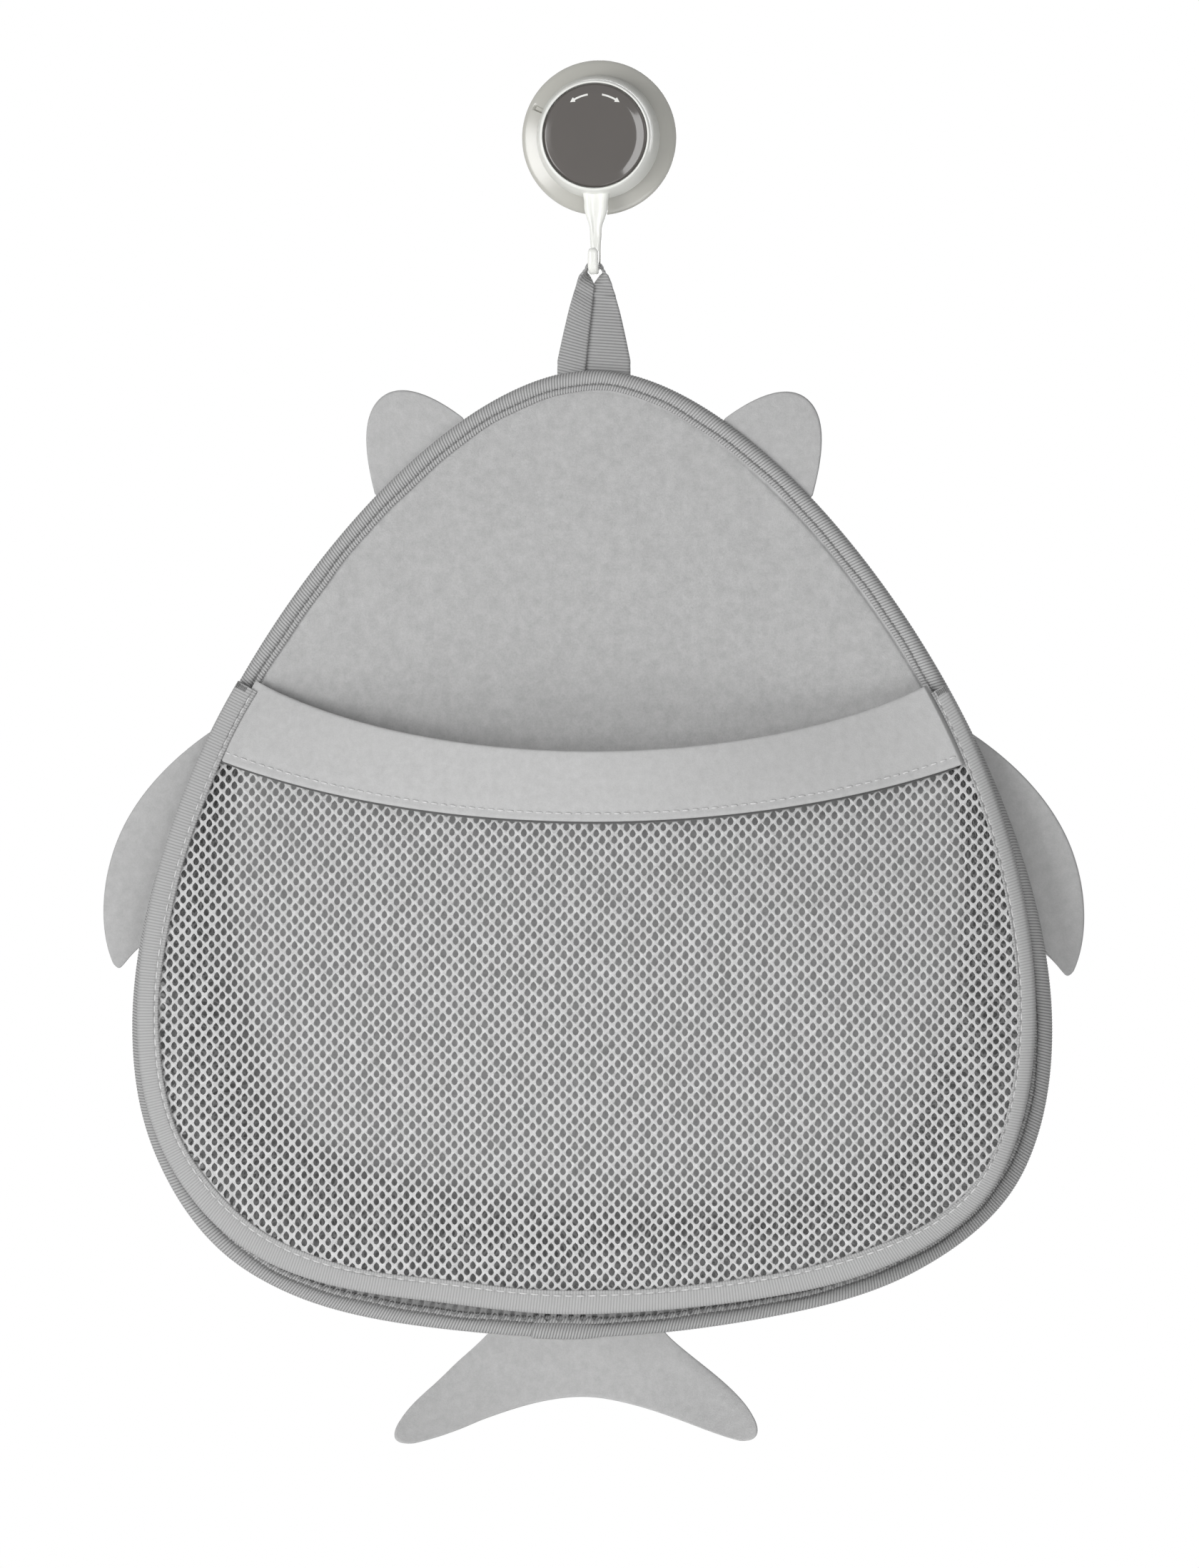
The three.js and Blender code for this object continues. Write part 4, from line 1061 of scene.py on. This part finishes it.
# Both halves are alike, apart from a narrower root on the right and a longer, slimmer tip on the left.
# The outline runs to the left along the bottom, so the right half has the negative places.
def drawTail():
    tail = flaps["tail"]
    half, tall = tail["width"] / 2, tail["height"]
    side = [(-0.49, -0.06), (-0.63, 0.2), (-0.87, 0.49), (-0.96, 0.77)]
    tip = [(-0.96, 0.77), (-1.01, 0.91), (-1, 1.01), (-0.89, 1)]
    fork = [(-0.89, 1), (-0.63, 0.9), (-0.31, 0.57), (0, 0.57)]
    right = joinedCurves([side, tip, fork], (half, tall), (30, 20, 36))
    left = right[::-1][1:] * (-1, 1)
    right[:, 0] += tail["narrow"] * smooth(right[:, 1], 0.85 * tall, 0) * smooth(-right[:, 0], 0, 20)
    slim = tail["slim"] * smooth(left[:, 1], 0.2 * tall, 0.5 * tall) * smooth(left[:, 0], *tail["slimSpan"])
    left[:, 0] += tail["longTip"] * smooth(left[:, 0], *tail["tipSpan"]) - slim
    return np.concatenate([right, left])


# The free edge is joined to the seam by straight lines, and bent back or forward away from it.
def flapPiece(name, drawing, share, side, bend):
    point, along, out = (part[0] for part in edgeFrame(np.array([share])))
    free = point + drawing[:, :1] * along + drawing[:, 1:] * out
    walk = walked(drawing)
    walk /= walk[-1]
    ease = smooth(walk, -0.15, 1.15)
    rootAlong = mix(drawing[0, 0], drawing[-1, 0], (ease - ease[0]) / (ease[-1] - ease[0]))
    root = edgePoint(share + rootAlong / outlineLength, flaps["tuck"])
    length = np.linalg.norm(free - root, axis=1)[:, None]
    rim = np.array(flaps["rounding"]) * np.minimum(1, length / 3)
    toEdge = np.concatenate([mix(length, rim[:, :1], np.arange(12) / 12), rim], 1)
    away = length - toEdge
    flat = root[:, None] + (free - root)[:, None] * (away / length)[..., None]
    half = flaps["thick"] / 2
    thick = half * np.sqrt(1 - (1 - np.minimum(toEdge / half, 1)) ** 2)
    depth = bag["middleDepth"] + bend(away, walk[:, None])
    front, rear = (inMetres(side * flat[..., 0], depth + sign * thick, flat[..., 1]) for sign in (1, -1))
    return loftPiece(name, np.concatenate([front, rear[:, ::-1][:, 1:]], 1), "flapFelt")


def blendFlap(piece, share, side):
    point, _, out = (part[0] for part in edgeFrame(np.array([share])))
    ends = [point + out * away for away in flaps["bendSpan"]]
    start, end = ((side * p[0] * mm, -bag["middleDepth"] * mm, p[1] * mm) for p in ends)
    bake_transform(piece)
    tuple(start)
    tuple(end)


bends = {"seamDrop": 2.0, "seamOver": 3.0, "slope": 0.06, "tailRise": 8, "tailWave": 1.4, "tailOver": 40}


# How far a flap lies forward, at a distance from its seam and a share of the way along its free edge
def curvedBend(rise, over):
    return lambda away, along: rise * (away / over) ** 2


def rightFlipperBend(away, along):
    return -bends["seamDrop"] * (1 - np.exp(-away / bends["seamOver"])) - bends["slope"] * away


def tailBend(away, along):
    rise = bends["tailRise"] + bends["tailWave"] * np.sin(along * fullTurn)
    return (away / bends["tailOver"]) ** 2 * rise


flapList = [
    ("ear_flap_left", "left_ear", "ear_left", drawEar(), "ear", -1, curvedBend(0.4, 26)),
    ("ear_flap_right", "right_ear", "ear_right", drawEar(), "ear", 1, curvedBend(-1.2, 26)),
    ("flipper_flap_left", "left_flipper", "flipper_left", drawFlipper(), "flipper", -1, curvedBend(-1.6, 19)),
    ("flipper_flap_right", "right_flipper", "flipper_right", drawFlipper(), "flipper", 1, rightFlipperBend),
    ("tail_flap", "tail_fin", "tail", drawTail(), "tail", 1, tailBend),
]
for name, node, body, drawing, kind, side, bend in flapList:
    piece = flapPiece(name, drawing, flaps[kind]["share"], side, bend)
    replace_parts(piece, node)
    blendFlap(piece, flaps[kind]["share"], side)
print("stage: flaps")


# Knitted mesh: lozenge cells with an egg-shaped gap in each, so that the yarn is thick at the knots

knit = {
    "pitch": 4.65, "row": 2.44, "yarn": 0.3, "knot": 0.4, "jitter": 0.05,
    "gapHalf": (1.2, 1.63), "gapJitter": 0.035,
    "gap": [
        (1, -0.1), (0.72, 0.52), (0, 1.05), (-0.72, 0.52), (-1, -0.1), (-0.7, -0.7), (0, -1), (0.7, -0.7),
    ],
}


# Cells are counted in half pitches across and rows up. Front and rear of the yarn meet at each gap.
def knitPiece(name, cells, toPlace, material):
    steps = np.array([(2, 0), (1, 1), (0, 2), (-1, 1), (-2, 0), (-1, -1), (0, -2), (1, -1)])
    keys = (cells * 2)[:, None] + steps
    nodes, ids = np.unique(keys.reshape(-1, 2), axis=0, return_inverse=True)
    ids = ids.reshape(len(cells), 8)
    size = np.array([knit["pitch"] / 4, knit["row"] / 2])
    flat = nodes * size + chance.normal(0, knit["jitter"], nodes.shape)
    isKnot = np.all(nodes % 2 == 0, axis=1)
    rise = np.where(isKnot, knit["knot"], knit["yarn"])
    gap = np.array(knit["gap"]) * knit["gapHalf"]
    middles = cells * (knit["pitch"] / 2, knit["row"])
    holes = middles[:, None] + gap * chance.normal(1, knit["gapJitter"], (len(cells), 1, 1))
    holes = holes.reshape(-1, 2)
    points = np.concatenate([toPlace(flat, rise), toPlace(flat, -rise), toPlace(holes, np.zeros(len(holes)))])
    count = len(nodes)
    hole = 2 * count + np.arange(len(holes)).reshape(-1, 8)
    nextId, nextHole = np.roll(ids, -1, 1), np.roll(hole, -1, 1)
    front = np.stack([ids, nextId, nextHole, hole], -1).reshape(-1, 4)
    rear = np.stack([hole, nextHole, nextId + count, ids + count], -1).reshape(-1, 4)
    pairs = np.stack([ids, nextId], -1).reshape(-1, 2)
    _, place, uses = np.unique(np.sort(pairs, 1), axis=0, return_inverse=True, return_counts=True)
    lone = pairs[uses[place.ravel()] == 1]
    border = np.stack([lone[:, 1], lone[:, 0], lone[:, 0] + count, lone[:, 1] + count], 1)
    print("  ", name, len(cells), "cells")
    return makePiece(name, points, [front, rear, border], material, sharp=100)


def cellGrid(across, up):
    a, b = np.meshgrid(across, up, indexing="ij")
    return np.stack([a, b], -1)[(a + b) % 2 == 0]


net = {
    "puff": 2.6, "puffOver": 14, "sway": 0.7, "swayLengths": (31, 23), "sunk": 0.2, "underBand": 1.0,
    "puffBelow": (4, 45), "swayBelow": (10, 60), "swayEdge": (0, 30),
    "rim": 2, "tuckLeft": 5.8, "tuckRight": 4.0, "tuckTop": 7,
}
rimOuterAt = rimProfile(net["rim"])


def acrossPocket(x, z):
    return np.clip(x / np.maximum(rimOuterAt(z), 1), -1, 1)


# The mesh puffs out from its tape, sways a little, and passes behind the band.
def netDepth(x, z):
    inner = np.maximum(tapeInnerAt(z), 1)
    below = np.clip(bandLow(acrossPocket(x, z)) - z, 0, None)
    edge = np.clip(np.minimum(inner - np.abs(x), z - (rimBottom + pocket["reach"])), 0, None)
    puff = net["puff"] * (1 - np.exp(-edge / net["puffOver"])) * smooth(below, *net["puffBelow"])
    wide, high = net["swayLengths"]
    sway = net["sway"] * np.sin(x / wide + 0.6) * np.sin(z / high)
    sway = sway * smooth(below, *net["swayBelow"]) * smooth(edge, *net["swayEdge"])
    return pocketDepth(x, z) + puff + sway - net["sunk"] - net["underBand"] * smooth(below, 6, 0)


def buildNet():
    cells = cellGrid(np.arange(-90, 91), np.arange(-200, -80))
    x, z = cells[:, 0] * knit["pitch"] / 2, cells[:, 1] * knit["row"]
    keep = (-rimProfile(net["tuckLeft"])(z) < x) & (x < rimProfile(net["tuckRight"])(z))
    keep &= z < bandLow(acrossPocket(x, z)) + net["tuckTop"]

    def toPlace(q, off):
        return inMetres(q[:, 0], netDepth(q[:, 0], q[:, 1]) + off, q[:, 1])

    return knitPiece("pocket_mesh", cells[keep], toPlace, "netYarn")


gusset = {
    "seam": 6, "back": 22.65, "fold": 34, "foldTop": 8, "rows": 32, "least": 2.4, "behindRim": (1.7, 0.3),
    "fullFold": 0.45, "bulge": 0.85, "creaseShare": 0.1, "seamDepth": 0.5, "yarnShare": 0.9,
    "wave": 1.1, "waveLength": 19,
}


def gussetFront(share):
    tape, slack = gusset["behindRim"]
    return rimDepth(rimPoint(share, gusset["seam"])[..., 1]) - tape - slack


# A strip from the panel to the rim, folded inwards. It starts below each corner, where there is room for it.
def buildGusset():
    tries = np.linspace(cornerAt, cornerAt + 0.05, 200)
    start = tries[np.argmax(gussetFront(tries) - gusset["back"] >= gusset["least"])]
    length = (1 - 2 * start) * outlineLength
    columns = int(length / (knit["pitch"] / 2)) // 2 * 2
    cells = cellGrid(np.arange(1, columns), np.arange(1, gusset["rows"]))

    def toPlace(q, off):
        share = start + np.clip(q[:, 0] / (knit["pitch"] / 2) / columns, 0, 1) * (1 - 2 * start)
        v = np.clip(q[:, 1] / knit["row"] / gusset["rows"], 0, 1)
        rearHalf = v < 0.5
        fold = np.minimum(share, 1 - share)
        down = np.clip((fold - start) / (0.5 - start), 0, 1)
        inset, front = rimInset(share), gussetFront(share)
        middle = (gusset["back"] + front) / 2
        folded = mix(gusset["foldTop"], gusset["fold"], smooth(down, 0, gusset["fullFold"]))
        tip = inset + gusset["seam"] + folded
        half = np.abs(v - 0.5) * 2  # 1 at the seams, 0 at the fold
        seamInset = np.where(rearHalf, gusset["seam"], inset + gusset["seam"])
        seamDepth = np.where(rearHalf, gusset["back"] + gusset["seamDepth"], front - gusset["seamDepth"])
        drawnIn = mix(tip, seamInset, half)
        yarn = off * np.where(rearHalf, 1, -1) * gusset["yarnShare"]
        yarn = yarn * smooth(half, 0, gusset["creaseShare"])
        depth = mix(middle, seamDepth, half ** gusset["bulge"]) + yarn
        crease = off * smooth(half, gusset["creaseShare"], 0)
        wave = gusset["wave"] * np.sin(share * outlineLength / gusset["waveLength"]) * np.sin(half * math.pi)
        point = edgePoint(share, drawnIn + crease + wave)
        return inMetres(point[:, 0], depth, point[:, 1])

    return knitPiece("gusset_mesh", cells, toPlace, "gussetYarnPaintedShade")


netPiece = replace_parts(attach(buildNet(), "pocket"), "pocket_net")
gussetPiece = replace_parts(buildGusset(), "pocket_gusset")
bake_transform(gussetPiece)
print("stage: mesh front and folded side")


# Band along the mouth

band = {
    "thick": 2.0, "back": 1.2, "endInset": 6.1, "wave": 0.35, "waveLength": 17,
    "tuckRight": (0.3, 1.9), "tuckLeft": (1, 12), "tuckedThick": 0.3, "tuckedBack": 0.3, "rearCorner": 0.35,
    # shares of the way down its face, and how full it is there
    "down": [0, 0.004, 0.018, 0.04, 0.12, 0.25, 0.4, 0.55, 0.7, 0.82, 0.885, 0.93, 0.965, 0.985, 0.997, 1],
    "face": [0.55, 0.8, 0.96, 1, 1.02, 1.05, 1.06, 1.05, 1.03, 1, 0.84, 1, 1, 0.93, 0.75, 0.5],
    "stitchLine": 0.885, "stitchFace": 0.98, "stitchPitch": 3.75, "stitch": (2.7, 0.36), "stitchEnd": 0.985,
}


# Across runs from -1 to 1, down from the top edge to the low one, and offset from the rear face to the front.
def bandGrid(across, down, offset):
    z = mix(bandTop(across), bandLow(across), down)
    half = rimProfile(band["endInset"])(z)
    x = across * half
    fromEnd = (1 - np.abs(across)) * half
    tucked = np.where(x > 0, smooth(fromEnd, *band["tuckRight"]), smooth(fromEnd, *band["tuckLeft"]))
    thin = band["tuckedBack"] + band["tuckedThick"] * offset
    level = mix(thin, band["back"] + offset * band["thick"], tucked)
    wave = band["wave"] * np.sin(x / band["waveLength"]) * (1 - down) * tucked
    return inMetres(x, pocketDepth(x, z) + level + wave, z)


def buildBand():
    across = np.concatenate([np.linspace(-1, 0.97, 240), np.linspace(0.97, 1, 14)[1:]])[:, None]
    down, face = np.array(band["down"])[None], np.array(band["face"])[None]
    front = bandGrid(across, down, face)
    corners = np.where((down == 0) | (down == 1), band["rearCorner"], 0.0)
    rear = bandGrid(across, down[:, ::-1], corners[:, ::-1])
    return loftPiece("mouth_band", np.concatenate([front, rear], 1), "bandFelt", sharp=70)


def bandStitches():
    across = np.linspace(-band["stitchEnd"], band["stitchEnd"], 700)
    line = bandGrid(across, np.full(700, band["stitchLine"]), np.full(700, band["stitchFace"]))
    walk = walked(line)
    at = np.arange(band["stitchPitch"] / 2 * mm, walk[-1], band["stitchPitch"] * mm)
    centre, ahead = (np.stack([np.interp(s, walk, row) for row in line.T], 1) for s in (at, at + 0.5 * mm))
    return stitchRow("band_stitches", centre, unit(ahead - centre), 1, band["stitch"], "paleThread")


hem = {
    "endInset": 6.8, "ends": (-0.985, 0.975),
    "drop": [-2.5, 0.6, 0.85, 0.85, 0.6, -2.5], "offset": [0.85, 0.85, 0.65, 0.25, 0.05, 0.05],
}


# The turned-under hem shows as a narrow dark edge below the band; its dark tone is painted shade.
def bandHem():
    across = np.linspace(*hem["ends"], 260)[:, None]
    z = bandLow(across) - np.array(hem["drop"])
    x = across * rimProfile(hem["endInset"])(z)
    depth = pocketDepth(x, z) + np.array(hem["offset"])
    return loftPiece("band_hem_painted_shade", inMetres(x, depth, z), "hemFeltPaintedShade", sharp=70)


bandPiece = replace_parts(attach(buildBand(), "pocket"), "pocket_band")
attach(bandHem(), "pocket")
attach(bandStitches(), "pocket")
print("stage: mouth band")


# Rim tape folded over the edge of the mesh

rimTape = {
    "slant": 0.05, "ribs": 0.045, "lipRibs": 1.5, "lip": -8.3, "slit": -7, "width": 9,
    "lean": 1.8, "leanOver": 60, "narrow": 0.27, "narrowSpan": (0.4, 0.33),
    "front": [
        (-9.0, 1.0), (-8.95, 1.4), (-8.6, 1.75), (-8.0, 1.8), (-7.65, 1.62), (-7.3, 1.22), (-6.95, 1.66),
        (-6.4, 1.9), (-5.0, 2.0), (-3.6, 2.05), (-2.0, 2.0), (-0.9, 1.72), (-0.25, 1.05),
    ],
    "inside": [(-8.9, -0.9), (-1.2, -0.9), (-1.2, 0.9), (-8.9, 0.9)],
    "stitchInset": 7.3, "stitchPitch": 4.6, "stitchRise": 1.48, "stitchEnd": 0.004, "stitch": (3.3, 0.34),
    "wander": [(0.25, 23), (0.15, 9.1)],  # sizes and lengths of the waves of its inner edge
}


# The tape is rolled narrower down the right side.
def rimGrid(shares, out, offset):
    rolled = rimTape["narrow"] * smooth(shares, *rimTape["narrowSpan"])
    point = rimPoint(shares, -out * (1 - rolled))
    x, z = point[..., 0], point[..., 1]
    return inMetres(x, pocketDepth(x, z) + offset, z)


# Points on the rim, with the direction of the rim there
def rimRun(shares, out, offset):
    centre = rimGrid(shares, out, offset)
    return centre, unit(rimGrid(shares + 1e-4, out, offset) - centre)


def buildRimTape():
    shares = np.linspace(cornerAt, 1 - cornerAt, int(rimLength / tapePitch * 4))
    along = (shares - cornerAt) * outlineLength
    plain, out, forward, lengthMap = foldedTape(rimTape, along, 0)
    wander = sum(size * np.sin(along / length) for size, length in rimTape["wander"])
    out = out + wander[:, None] * (plain < rimTape["slit"])
    over = rimTape["leanOver"]
    lean = rimTape["lean"] * window(along, 0, over, along[-1] - over, along[-1])
    offset = forward - lean[:, None] * (1 + plain / rimTape["width"])
    grid = rimGrid(np.broadcast_to(shares[:, None], out.shape), out, offset)
    return loftPiece("rim_tape", grid, "rimTape", uv=lengthMap)


def rimStitches(name, faceSign):
    count = int(rimLength / rimTape["stitchPitch"])
    end = cornerAt + rimTape["stitchEnd"]
    shares = np.linspace(end, 1 - end, count)
    lean = rimTape["lean"] * (1 - rimTape["stitchInset"] / rimTape["width"])
    lean = lean * smooth(np.minimum(shares, 1 - shares), cornerAt, cornerAt + 0.05)
    run = rimRun(shares, np.full(count, -rimTape["stitchInset"]), faceSign * rimTape["stitchRise"] - lean)
    return stitchRow(name, *run, faceSign, rimTape["stitch"], "paleThread")


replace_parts(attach(buildRimTape(), "pocket"), "front_binding")
for name, faceSign in (("rim_stitches_front", 1), ("rim_stitches_rear", -1)):
    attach(rimStitches(name, faceSign), "pocket")
print("stage: rim tape")


# Bar tacks at the two upper corners of the pocket

tack = {"count": 7, "from": 0.8, "to": 6.2, "below": 0.0012, "rise": 2.1, "stitch": (2.6, 0.26)}


def buildTacks():
    inset = np.linspace(tack["from"], tack["to"], tack["count"])
    shares = np.full(tack["count"], cornerAt + tack["below"])
    run = rimRun(shares, -inset, np.full(tack["count"], tack["rise"]))
    both = [np.concatenate([values, values * (-1, 1, 1)]) for values in run]
    return stitchRow("bar_tacks", *both, 1, tack["stitch"], "greyThread")


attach(buildTacks(), "pocket")
print("stage: bar tacks")
